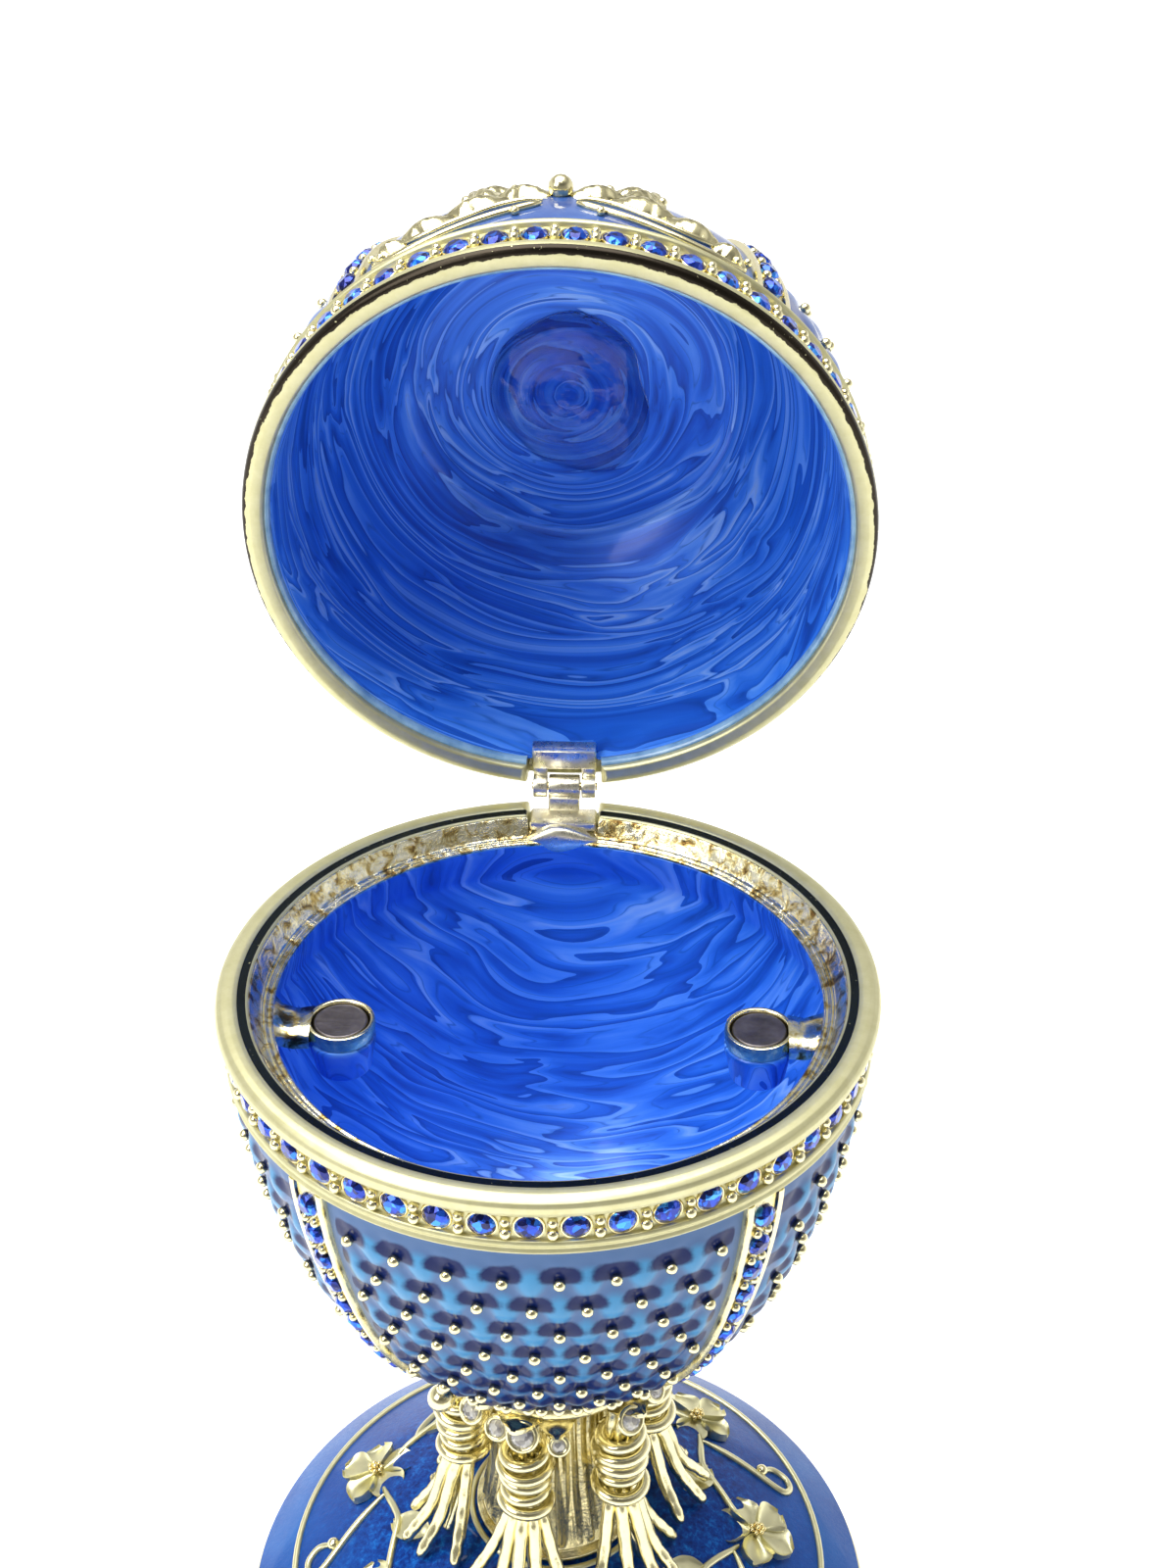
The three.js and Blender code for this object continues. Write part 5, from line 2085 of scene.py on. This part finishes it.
def bent_over(shape: Shape, bend: float) -> Shape:
    """Bends a leaf that lies along +Y down at its far end.

    Args:
        shape: the leaf.
        bend: how fast it falls away.

    Returns:
        The bent leaf.
    """
    points = shape.points.copy()
    points[:, 2] -= bend * (points[:, 1] ** 2 + points[:, 0] ** 2)
    return Shape(points, shape.faces, shape.values)


# Hinge

@dataclass
class Hinge:
    """Three-knuckle hinge at the back: middle knuckle on the bowl, outer two on the lid."""

    stand: PieceShop
    lid: PieceShop
    knuckle_radius: float = 1.42
    middle_half: float = 1.85
    outer_half: float = 3.7
    gap: float = 0.2
    solder_half: tuple[float, float] = (4.45, 1.9)
    solder_bulge: float = 1.25
    solder_drop: float = 2.75
    solder_reach: float = 30.1

    def build(self) -> None:
        """Makes both leaves and the pin."""
        self.fixed_leaf()
        self.moving_leaf()

    def barrel(self, start: float, end: float, radius: float) -> Shape:
        """Makes a round length along X on the hinge line.

        Args:
            start: where it starts.
            end: where it ends.
            radius: its radius.

        Returns:
            The barrel.
        """
        profile = rounded([(0.0, start), (radius, start), (radius, end), (0.0, end)], 0.14, 2,
                          closed=False)
        lying = Matrix.Rotation(math.radians(90), 4, "Y")
        centre = Matrix.Translation((0.0, SIZES.hinge.y, SIZES.hinge.z))
        return turned(profile, 32, Ends.POLES).moved(centre @ lying)

    def slab(self, low: tuple[float, float, float], high: tuple[float, float, float],
             cut: float = 0.18) -> Shape:
        """Makes a plate with eased edges.

        Args:
            low: lowest corner.
            high: highest corner.
            cut: how far the edges are eased.

        Returns:
            The plate.
        """
        corners = [(low[1], low[2]), (high[1], low[2]), (high[1], high[2]), (low[1], high[2])]
        section = np.array(rounded(corners, cut, 2))
        rings = []
        middle = section.mean(axis=0)
        for x, shrink in ((low[0], cut), (low[0] + cut, 0.0), (high[0] - cut, 0.0),
                          (high[0], cut)):
            span = section.max(axis=0) - section.min(axis=0)
            scale = 1 - 2 * shrink / span
            ring = middle + (section - middle) * scale
            rings.append(np.column_stack([np.full(len(ring), x), ring]))
        return ringed(np.array(rings), Ends.CAPS)

    def fixed_leaf(self) -> None:
        """Makes the bowl's leaf: knuckle, web, plate and the solder that holds it."""
        seat = SIZES.seat_z
        knuckle = self.barrel(-self.middle_half, self.middle_half, self.knuckle_radius)
        web = self.slab((-self.middle_half, 33.2, seat - 1.5), (self.middle_half, 36.2,
                                                                seat + 0.9))
        plate = self.slab((-3.9, 30.3, seat - 1.75), (3.9, 33.7, seat - 0.75))
        piece = self.stand.piece("hinge_fixed_leaf", together([knuckle, web, plate]),
                                 HINGE_METAL, Slot.GOLD, 45.0)
        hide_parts("hinge_bowl_leaf")
        rings, places = 14, 48
        share = np.linspace(0.0, 1.0, rings)[:, None]
        angle = np.radians(360.0 * np.arange(places)[None, :] / places)
        wide = self.solder_half[0] * share * np.cos(angle)
        tall = self.solder_half[1] * share * np.sin(angle) * (1 + 0.1 * np.cos(3 * angle))
        tall = tall * np.maximum(1 - (wide / 5.6) ** 2, 0.2)
        bulge = self.solder_bulge * np.sqrt(np.maximum(1 - share ** 2, 0.0)) + 0.0 * angle
        inner = self.solder_reach - 0.014 * wide ** 2
        level = seat - self.solder_drop
        face = np.stack([wide, inner - bulge, level + tall + 0.25 * bulge], -1)
        back = np.stack([wide, inner + 0.9, level + tall], -1)[::-1]
        blob = ringed(np.concatenate([face, back[0:1], back[-1:]]), Ends.POLES)
        self.stand.piece("hinge_solder", blob, HINGE_METAL, Slot.GOLD, 80.0)
        pin = self.barrel(-self.outer_half - 0.2, self.outer_half + 0.2, 0.5)
        piece = self.stand.piece("hinge_pin_rod", pin, BRIGHT, Slot.GOLD, 45.0)
        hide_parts("hinge_pin")

    def moving_leaf(self) -> None:
        """Makes the lid's leaf: two knuckles, a plate and the curved tab inside the lid."""
        seat = SIZES.seat_z
        parts = []
        for side in (-1, 1):
            ends = sorted((side * (self.middle_half + self.gap), side * self.outer_half))
            parts.append(self.barrel(ends[0], ends[1], self.knuckle_radius))
            parts.append(self.slab((ends[0], 32.6, seat + 1.75), (ends[1], 35.3, seat + 2.68),
                                   0.1))
        parts.append(self.slab((-3.8, 30.3, seat + 1.7), (3.8, 33.0, seat + 2.6)))
        parts.append(self.slab((-3.75, 29.75, seat + 1.7), (3.75, 30.5, seat + 3.0), 0.1))
        piece = self.lid.piece("hinge_moving_leaf", together(parts), HINGE_METAL, Slot.GOLD,
                               45.0)
        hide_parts("hinge_lid_leaf")


# Base

@dataclass
class BasePlinth:
    """Domed foot: enamel in two zones, gold lines, and a vine with five-petalled blossoms."""

    shop: PieceShop
    line_radius: float = 33.6
    line_z: float = 9.4
    seat_radius: float = 10.6
    dome_top: float = 20.2
    edge_drop: float = 4.9
    vine_axis: float = 14.0
    blossom_angles: tuple[float, ...] = (58.4, 104.6, 150.8)
    blossom_radius: float = 24.8

    def __post_init__(self) -> None:
        """Draws the dome."""
        radius = np.linspace(self.line_radius, 0.0, 300)
        self.dome = Wall(np.stack([radius, [self.height(r) for r in radius]], -1))

    def height(self, radius: float) -> float:
        """Gives the dome's height at a distance from the axis.

        Args:
            radius: the distance.

        Returns:
            The height above the floor.
        """
        if radius > self.line_radius:
            out = (radius - self.line_radius) / (SIZES.base_radius - self.line_radius)
            return self.line_z - self.edge_drop * out ** 1.1
        inward = min((self.line_radius - radius) / (self.line_radius - self.seat_radius), 1.0)
        rise = math.sin(inward * math.pi / 2.35) / 0.973
        return self.line_z + (self.dome_top - self.line_z) * rise

    def build(self) -> None:
        """Makes every piece of the base."""
        self.body()
        self.lines()
        self.vine()

    def body(self) -> None:
        """Makes the enamelled dome and its gold edge."""
        inner = [(r, self.height(r)) for r in np.linspace(0.0, 33.5, 70)]
        outer = [(r, self.height(r)) for r in np.linspace(33.8, 39.1, 16)]
        profile = inner + outer + [(39.2, 3.9), (39.0, 1.2), (0.0, 1.0)]
        shape = turned(profile, 200, Ends.POLES)
        piece = self.shop.piece("base_enamel", shape, HammeredEnamel(), Slot.BLUE)
        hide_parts("base")
        foot = rounded([(0.0, 0.0), (38.2, 0.0), (39.1, 0.8), (39.6, 2.6), (39.6, 3.6),
                        (39.35, 4.25), (39.0, 4.2), (38.9, 1.1), (0.0, 0.95)], 0.3, 2,
                       closed=False)
        self.shop.piece("base_foot", turned(foot, 200, Ends.POLES), SATIN, Slot.GOLD, 50.0)

    def lines(self) -> None:
        """Makes the raised gold line between the zones and the collar under the stem."""
        azimuth = 3.0 * np.arange(120)
        ring = Line(polar(self.line_radius + 0.05, azimuth, self.line_z + 0.02), 0.45, True)
        collar = Line(polar(self.seat_radius + 0.1, azimuth, SIZES.base_top_z - 0.1), 0.4, True)
        self.shop.wired("base_lines", [ring, collar], SATIN, Slot.GOLD)

    def on_dome(self, radius: np.ndarray | float, azimuth: np.ndarray | float,
                lift: float = 0.0) -> np.ndarray:
        """Gives points above the dome by their distance from the axis."""
        order = self.dome.profile[::-1, 0]
        distance = np.interp(radius, order, self.dome.distance[::-1])
        return self.dome.place(distance, azimuth, lift)

    def up(self, radius: float, azimuth: float) -> np.ndarray:
        """Gives the dome's normal by the distance from the axis."""
        order = self.dome.profile[::-1, 0]
        distance = float(np.interp(radius, order, self.dome.distance[::-1]))
        return self.dome.normal(distance, azimuth)

    def vine(self) -> None:
        """Makes stems, tendrils, leaves, blossoms and buds on both halves of the dome."""
        stems, leaves, petals, dots, balls = [], [], [], [], []
        back = self.vine_axis + 180.0
        for side in (-1, 1):
            for i, start in enumerate(self.blossom_angles):
                at = back + side * start
                petals += self.petals(self.blossom_radius, at, 24.0 * i * side)
                dots += self.stamens(self.blossom_radius, at)
                stems += self.stems(back, side, start, i)
                if i < 2:
                    leaves.append(self.leaf(20.8, back + side * (start + 23), 16.4,
                                            back + side * (start + 35), 2.0))
                    end = self.on_dome(28.3, back + side * (start + 22.6), 0.45)
                    balls.append(Seat(end, np.array([0.0, 0.0, 1.0]), (0.85, 0.85, 0.85)))
            leaves.append(self.leaf(22.4, back + side * 40, 20.4, back + side * 22, 1.5))
        self.shop.wired("base_vine_stems", stems, SATIN, Slot.GOLD)
        self.shop.piece("base_vine_leaves", together(leaves), SATIN, Slot.GOLD, 60.0)
        self.shop.piece("base_blossom_petals", together(petals), SATIN, Slot.GOLD, 70.0)
        self.shop.scattered("base_blossom_stamens", bead_model(8, 5), dots, BRIGHT, Slot.GOLD)
        self.shop.scattered("base_tendril_balls", bead_model(12, 8), balls, POLISHED, Slot.GOLD)

    def stems(self, back: float, side: int, start: float, index: int) -> list[Line]:
        """Gives the stem and tendril that follow one blossom.

        Args:
            back: azimuth that the vine starts from.
            side: -1 or 1.
            start: angle of the blossom from there.
            index: which blossom it is.

        Returns:
            The lines.
        """
        if index == 2:
            runs = [[(23.6, start + 8), (22.2, start + 18), (22.6, start + 29.2)]]
        else:
            runs = [
                [(23.0, start + 7), (20.7, start + 17), (20.1, start + 25),
                 (21.8, start + 38), (23.2, start + 43)],
                [(22.6, start + 10), (24.6, start + 16), (27.8, start + 24),
                 (30.2, start + 28.2), (31.6, start + 27.0), (31.7, start + 23.7),
                 (30.3, start + 21.2), (28.4, start + 22.2)]]
        if index == 0:
            runs.append([(23.6, 51.0), (22.6, 40.0), (22.0, 28.0), (21.4, 14.0)])
            runs.append([(22.9, 44.0), (24.0, 35.0), (24.6, 22.0), (23.8, 8.0)])
        lines = []
        for run in runs:
            line = smooth_line(run, 36)
            lines.append(Line(self.on_dome(line[:, 0], back + side * line[:, 1], 0.16),
                              0.46 * tapered(36, 0.5)))
        return lines

    def leaf(self, radius: float, azimuth: float, end_radius: float, end_azimuth: float,
             half: float) -> Shape:
        """Makes an almond leaf with a raised rim.

        Args:
            radius: distance of its foot from the axis.
            azimuth: azimuth of its foot.
            end_radius: distance of its tip.
            end_azimuth: azimuth of its tip.
            half: half of its width.

        Returns:
            The leaf.
        """
        foot = self.on_dome(radius, azimuth)
        tip = self.on_dome(end_radius, end_azimuth)
        reach = float(np.linalg.norm(tip - foot))
        up = self.up((radius + end_radius) / 2, (azimuth + end_azimuth) / 2)
        model = leaf_patch(half, reach, 0.35, 0.75, veins=4, root=0.6, along=20, across=13,
                           tip=1.0)
        seat = Seat(foot, up, (1.0, 1.0, 1.0), tip - foot)
        return model.moved(seat_matrix(seat))

    def petals(self, radius: float, azimuth: float, turn: float) -> list[Shape]:
        """Makes five dished petals.

        Args:
            radius: distance of the blossom from the axis.
            azimuth: its azimuth.
            turn: its own turn in degrees.

        Returns:
            The petals.
        """
        up = self.up(radius, azimuth)
        centre = self.on_dome(radius, azimuth, 0.45)
        outward = polar(1.0, azimuth, 0.0)
        across = np.cross(up, outward)
        made = []
        draw = np.random.default_rng(SEED + int(abs(azimuth)))
        for i in range(5):
            angle = math.radians(turn + 72.0 * i + draw.uniform(-7, 7))
            along = outward * math.cos(angle) + across * math.sin(angle)
            tilt = up + 0.12 * along
            grow = draw.uniform(0.92, 1.08)
            model = leaf_patch(2.3, 4.75, 0.12, 0.95, root=0.55, along=18, across=13,
                               tip=1.45)
            seat = Seat(centre + 0.35 * along, tilt - along * np.dot(tilt, along) * 0.5,
                        (grow, grow, 1.0), along)
            made.append(model.moved(seat_matrix(seat)))
        return made

    def stamens(self, radius: float, azimuth: float) -> list[Seat]:
        """Gives the seats of a blossom's stamens."""
        up = self.up(radius, azimuth)
        centre = self.on_dome(radius, azimuth, 1.1)
        outward = polar(1.0, azimuth, 0.0)
        across = np.cross(up, outward)
        seats = [Seat(centre + 0.15 * up, up, (0.42, 0.42, 0.42))]
        for i in range(7):
            angle = 2 * math.pi * i / 7
            spot = centre + 0.78 * (outward * math.cos(angle) + across * math.sin(angle))
            seats.append(Seat(spot, up, (0.36, 0.36, 0.36)))
        return seats


# Stem

@dataclass
class RootStem:
    """Fluted trunk with six bundles of twigs tied to it, and the jewelled cup on top.

    A crystal is given as azimuth, radius, height and size; a twig as its offsets across and
    outwards in the bundle, and the turn and radius of its tip; a leaf of the cup as azimuth,
    radius, height, length, half width and lean.
    """

    shop: PieceShop
    plinth: BasePlinth
    bundle_radius: float = 11.0
    bundle_phase: float = -15.0
    bundle_count: int = 6
    cord_low: float = 33.4
    cord_high: float = 41.6
    crystals: tuple[tuple[float, float, float, float], ...] = (
        (-12.0, 14.2, 47.2, 1.4), (-26.0, 13.6, 46.6, 1.05), (-41.0, 13.8, 47.4, 1.15),
        (5.0, 13.4, 45.2, 0.8), (41.0, 14.2, 46.8, 1.25), (59.0, 14.0, 48.0, 1.05))

    twigs: tuple[tuple[float, float, float, float], ...] = (
        (-1.15, 0.1, -25.0, 15.8), (-0.75, 1.05, -11.0, 18.2), (0.1, 1.45, 1.0, 19.4),
        (0.9, 0.95, 12.0, 18.0), (1.2, 0.0, 26.0, 16.0), (0.0, -0.4, 7.0, 14.2))
    leaves: tuple[tuple[float, ...], ...] = (
        (-15.0, 9.0, 47.2, 6.4, 3.0, 0.25), (4.0, 8.6, 47.6, 5.6, 2.4, -0.1),
        (-34.0, 9.0, 48.2, 5.8, 2.0, 0.3), (46.0, 9.0, 47.0, 6.2, 2.8, 0.1),
        (64.0, 9.0, 48.6, 6.4, 2.0, 0.35), (25.0, 8.0, 48.6, 4.6, 1.8, 0.2))
    ball_azimuths: tuple[float, ...] = (-48.0, 132.0)

    def build(self) -> None:
        """Makes every piece of the stem."""
        self.trunk()
        self.bundles()
        self.cup()

    def trunk(self) -> None:
        """Makes the barked trunk with its foot."""
        low = SIZES.base_top_z
        top = SIZES.stem_top_z
        line = smooth_line([
            (10.0, 20.55), (10.05, 21.2), (9.5, 21.7), (9.15, 22.2), (8.6, 25.0), (7.9, 30.0),
            (7.5, 37.0), (7.6, 43.0), (9.2, 46.0), (12.4, 48.2), (12.6, 49.6), (11.0, 50.6),
            (8.0, top)], 110)
        profile = np.vstack([[0.0, 20.55], line, [0.0, top]])
        segments = 240
        azimuth = 360.0 * np.arange(segments) / segments
        height = profile[:, 1][:, None]
        draw = np.random.default_rng(SEED)
        relief = np.zeros((len(profile), segments))
        for count, depth in ((17, 0.16), (29, 0.14), (46, 0.12), (71, 0.07)):
            phase = draw.uniform(0, 6.28)
            drift = draw.uniform(-0.06, 0.06)
            wave = np.sin(np.radians(count * azimuth)[None, :] + phase + drift * height
                          + 0.8 * np.sin(0.16 * height + phase))
            relief += depth * wave
        mask = np.clip((height - low - 1.9) / 0.8, 0, 1) * np.clip((46.5 - height) / 3.0, 0, 1)
        shape = turned(profile, segments, Ends.POLES, relief * mask)
        piece = self.shop.piece("stem_trunk", shape, ANTIQUE, Slot.GOLD, 60.0)
        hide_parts("stem")

    def bundles(self) -> None:
        """Makes the rods and twigs of all bundles, and the cord that ties them."""
        twigs: list[Line] = []
        cords: list[Line] = []
        draw = np.random.default_rng(SEED + 1)
        for i in range(self.bundle_count):
            azimuth = self.bundle_phase + 360.0 * i / self.bundle_count
            twigs += self.rods(azimuth, draw)
            cords += self.cord(azimuth, draw)
        self.shop.wired("stem_twigs", twigs, POLISHED, Slot.GOLD, 10)
        self.shop.wired("stem_cords", cords, POLISHED, Slot.GOLD, 8)

    def rods(self, azimuth: float, draw: np.random.Generator) -> list[Line]:
        """Makes the rods of one bundle, from the cup down to the twig tips.

        Args:
            azimuth: the bundle's azimuth.
            draw: source of small differences.

        Returns:
            The lines.
        """
        out = polar(1.0, azimuth, 0.0)
        side = polar(1.0, azimuth + 90.0, 0.0)
        lines = []
        for across, outward, tip_turn, tip_radius in self.twigs:
            wobble = draw.uniform(-0.25, 0.25, 4)
            tip_at = azimuth + tip_turn + 3 * wobble[0]
            reach = tip_radius + 2 * wobble[1]
            centre = polar(self.bundle_radius, azimuth, 0.0)
            start = centre + side * across + out * outward
            rise = np.array([0.0, 0.0, 1.0])
            tip = self.plinth.on_dome(reach, tip_at, 0.75)
            knee = 0.55 * start + 0.45 * tip
            points = [start * 1.03 + rise * 47.4, start + rise * 43.0,
                      centre + 0.86 * (start - centre) + rise * 37.5,
                      centre + 0.95 * (start - centre) + rise * 33.0,
                      np.array([*(0.8 * start + 0.2 * tip)[:2], 29.6 + wobble[2]]),
                      np.array([*knee[:2], tip[2] + 5.6 + wobble[3]]),
                      np.array([*(0.22 * start + 0.78 * tip)[:2], tip[2] + 2.0]), tip]
            line = smooth_line([tuple(point) for point in points], 44)
            thickness = np.interp(np.linspace(0, 1, 44), [0, 0.35, 0.7, 1.0],
                                  [0.72, 0.78, 0.82, 0.74])
            thickness = thickness * (1 + 0.05 * np.sin(np.arange(44) * 1.7 + 9 * wobble[0]))
            thickness[-3:] *= np.array([0.96, 0.8, 0.42])
            lines.append(Line(line, thickness))
        return lines

    def cord(self, azimuth: float, draw: np.random.Generator) -> list[Line]:
        """Makes the turns of cord round one bundle.

        Args:
            azimuth: the bundle's azimuth.
            draw: source of small differences.

        Returns:
            The lines.
        """
        centre = polar(self.bundle_radius + 0.45, azimuth, 0.0)
        lines = []
        for height in np.linspace(self.cord_low, self.cord_high, 5):
            angle = np.radians(np.arange(0, 360, 12))
            lean = draw.uniform(-0.35, 0.35, 2)
            swell = 2.55 + 0.25 * math.sin(height) + draw.uniform(-0.1, 0.1)
            x = centre[0] + swell * np.cos(angle)
            y = centre[1] + 0.96 * swell * np.sin(angle)
            z = height + lean[0] * np.cos(angle) + lean[1] * np.sin(angle)
            lines.append(Line(np.stack([x, y, z], -1), draw.uniform(0.66, 0.92), True))
        return lines

    def cup(self) -> None:
        """Makes leaves, bezels, crystals and the balls on stalks under the bowl."""
        leaves, bezels, stones, mirrors, balls, stalks = [], [], [], [], [], []
        for turn in (0.0, 120.0, 240.0):
            for azimuth, radius, height, size in self.crystals:
                at = azimuth + turn
                up = polar(0.86, at, 0.5)
                place = polar(radius, at, height)
                ring = np.radians(np.arange(0, 360, 20))
                frame_turn = np.array(Seat(place, up, (1, 1, 1)).frame())
                circle = np.stack([np.cos(ring), np.sin(ring), 0 * ring], -1) * (size + 0.25)
                bezels.append(Line(place + circle @ frame_turn.T, 0.36, True))
                stones.append(Seat(place + 0.1 * up, up, (size,) * 3))
                mirrors.append(Seat(place - 0.55 * up, up, (size + 0.1, size + 0.1, 0.7)))
            for azimuth, radius, height, reach, half, lean in self.leaves:
                at = azimuth + turn
                along = polar(1.0, at, lean)
                up = polar(-lean, at, 1.0)
                model = leaf_patch(half, reach, 0.7, 0.55, lobes=0, veins=3, root=0.35,
                                   along=16, across=11, tip=0.85)
                seat = Seat(polar(radius, at, height), up, (1, 1, 1), along)
                leaves.append(model.moved(seat_matrix(seat)))
        for azimuth in self.ball_azimuths:
            end = polar(16.6, azimuth, 50.0)
            balls.append(Seat(end, np.array([0, 0, 1.0]), (1.62, 1.62, 1.62)))
            line = smooth_line([tuple(polar(11.0, azimuth, 47.8)),
                                tuple(polar(13.6, azimuth, 49.0)), tuple(end)], 12)
            stalks.append(Line(line, 0.6))
        self.shop.piece("stem_cup_leaves", together(leaves), POLISHED, Slot.GOLD, 60.0)
        self.shop.wired("stem_bezels", bezels + stalks, POLISHED, Slot.GOLD, 8)
        self.shop.scattered("stem_crystals", stone_model(), stones, CRYSTAL, Slot.CRYSTAL, 0.0)
        self.shop.scattered("stem_bezel_backs", bead_model(), mirrors, POLISHED, Slot.GOLD)
        self.shop.scattered("stem_balls", bead_model(24, 16), balls, POLISHED, Slot.GOLD)


# Studio

@dataclass
class Studio:
    """Pale floor, soft light and the camera."""

    focal_share: float = 1.35625
    long_side: float = 36.0
    elevation: float = 31.845
    distance: float = 212.206
    azimuth: float = 2.4
    target_height: float = 23.5536
    target_shift: float = 4.2764
    roll: float = -0.256
    room: float = 0.95
    front: float = 0.35
    heights: tuple[Point2, ...] = (
        (0.0, 1.0), (0.30, 0.95), (0.52, 0.40), (0.72, 0.42), (0.86, 0.9), (1.0, 1.0))
    lamps: tuple[tuple[str, tuple[float, float, float], float, float], ...] = (
        ("overhead", (-0.15, 0.05, 1.0), 0.9, 14.0), ("front_left", (-0.7, -0.6, 0.8), 0.6, 6.0))

    def build(self) -> None:
        """Makes floor, light and camera."""
        self.floor()
        self.light()
        self.camera()

    def floor(self) -> None:
        """Makes the floor."""
        half = 1.5
        mesh = bpy.data.meshes.new("floor")
        mesh.from_pydata([(-half, -half, 0), (half, -half, 0), (half, half, 0),
                          (-half, half, 0)], [], [(0, 1, 2, 3)])
        mesh.materials.append(Tabletop().material())
        plane = bpy.data.objects.new("floor", mesh)
        bpy.context.scene.collection.objects.link(plane)

    def light(self) -> None:
        """Makes the room, bright behind and dim in front, and large soft lamps."""
        world = bpy.data.worlds.new("room")
        bpy.context.scene.world = world
        world.use_nodes = True
        bench = NodeBench(world.node_tree)
        way = bench.split(bench.add("ShaderNodeTexCoord").outputs["Generated"])
        rising = bench.ramp(way["Z"], [(share, (level,) * 3) for share, level in self.heights])
        ahead = bench.spread(way["Y"], -0.75, 0.1, self.front, 1.0)
        backdrop = world.node_tree.nodes["Background"]
        bench.feed(backdrop.inputs["Color"], bench.mix(1.0, rising, ahead, "MULTIPLY"))
        bench.feed(backdrop.inputs["Strength"], self.room)
        for name, place, size, power in self.lamps:
            lamp = bpy.data.lights.new(name, "AREA")
            lamp.energy = power
            lamp.size = size
            holder = bpy.data.objects.new(name, lamp)
            holder.location = place
            aim = Vector((0, 0, 0.09)) - Vector(place)
            holder.rotation_euler = aim.to_track_quat("-Z", "Y").to_euler()
            bpy.context.scene.collection.objects.link(holder)
        bpy.context.scene.view_settings.view_transform = "Standard"

    def camera(self) -> None:
        """Makes the camera."""
        tilt, turn, roll = (math.radians(value) for value in
                            (self.elevation, self.azimuth, self.roll))
        back = Vector((math.sin(turn) * math.cos(tilt), -math.cos(turn) * math.cos(tilt),
                       math.sin(tilt)))
        right = Vector((math.cos(turn), math.sin(turn), 0.0))
        up = back.cross(right)
        target = Vector((0.0, 0.0, SIZES.seat_z + self.target_height)) + right * self.target_shift
        place = target + back * self.distance
        rolled_right = right * math.cos(roll) + up * math.sin(roll)
        rolled_up = up * math.cos(roll) - right * math.sin(roll)
        data = bpy.data.cameras.new("camera")
        data.sensor_width = self.long_side
        data.lens = self.focal_share * self.long_side
        data.clip_start, data.clip_end = 0.01, 10.0
        holder = bpy.data.objects.new("camera", data)
        turned_to = Matrix((rolled_right, rolled_up, back)).transposed()
        holder.matrix_world = Matrix.Translation(place * MM) @ turned_to.to_4x4()
        bpy.context.scene.collection.objects.link(holder)
        bpy.context.scene.camera = holder


def main() -> None:
    """Builds the studio and every sub-assembly in order."""
    logging.basicConfig(level=logging.INFO, format="%(name)s %(message)s")
    stand = PieceShop(Body.STAND, Matrix.Identity(4))
    lid = PieceShop(Body.LID, SIZES.lid_turn())
    plinth = BasePlinth(stand)
    for assembly in (Studio(), plinth, RootStem(stand, plinth), EggBowl(stand),
                     EggLid(lid), Hinge(stand, lid)):
        log.info("building %s", type(assembly).__name__)
        assembly.build()


if __name__ == "__main__":
    main()
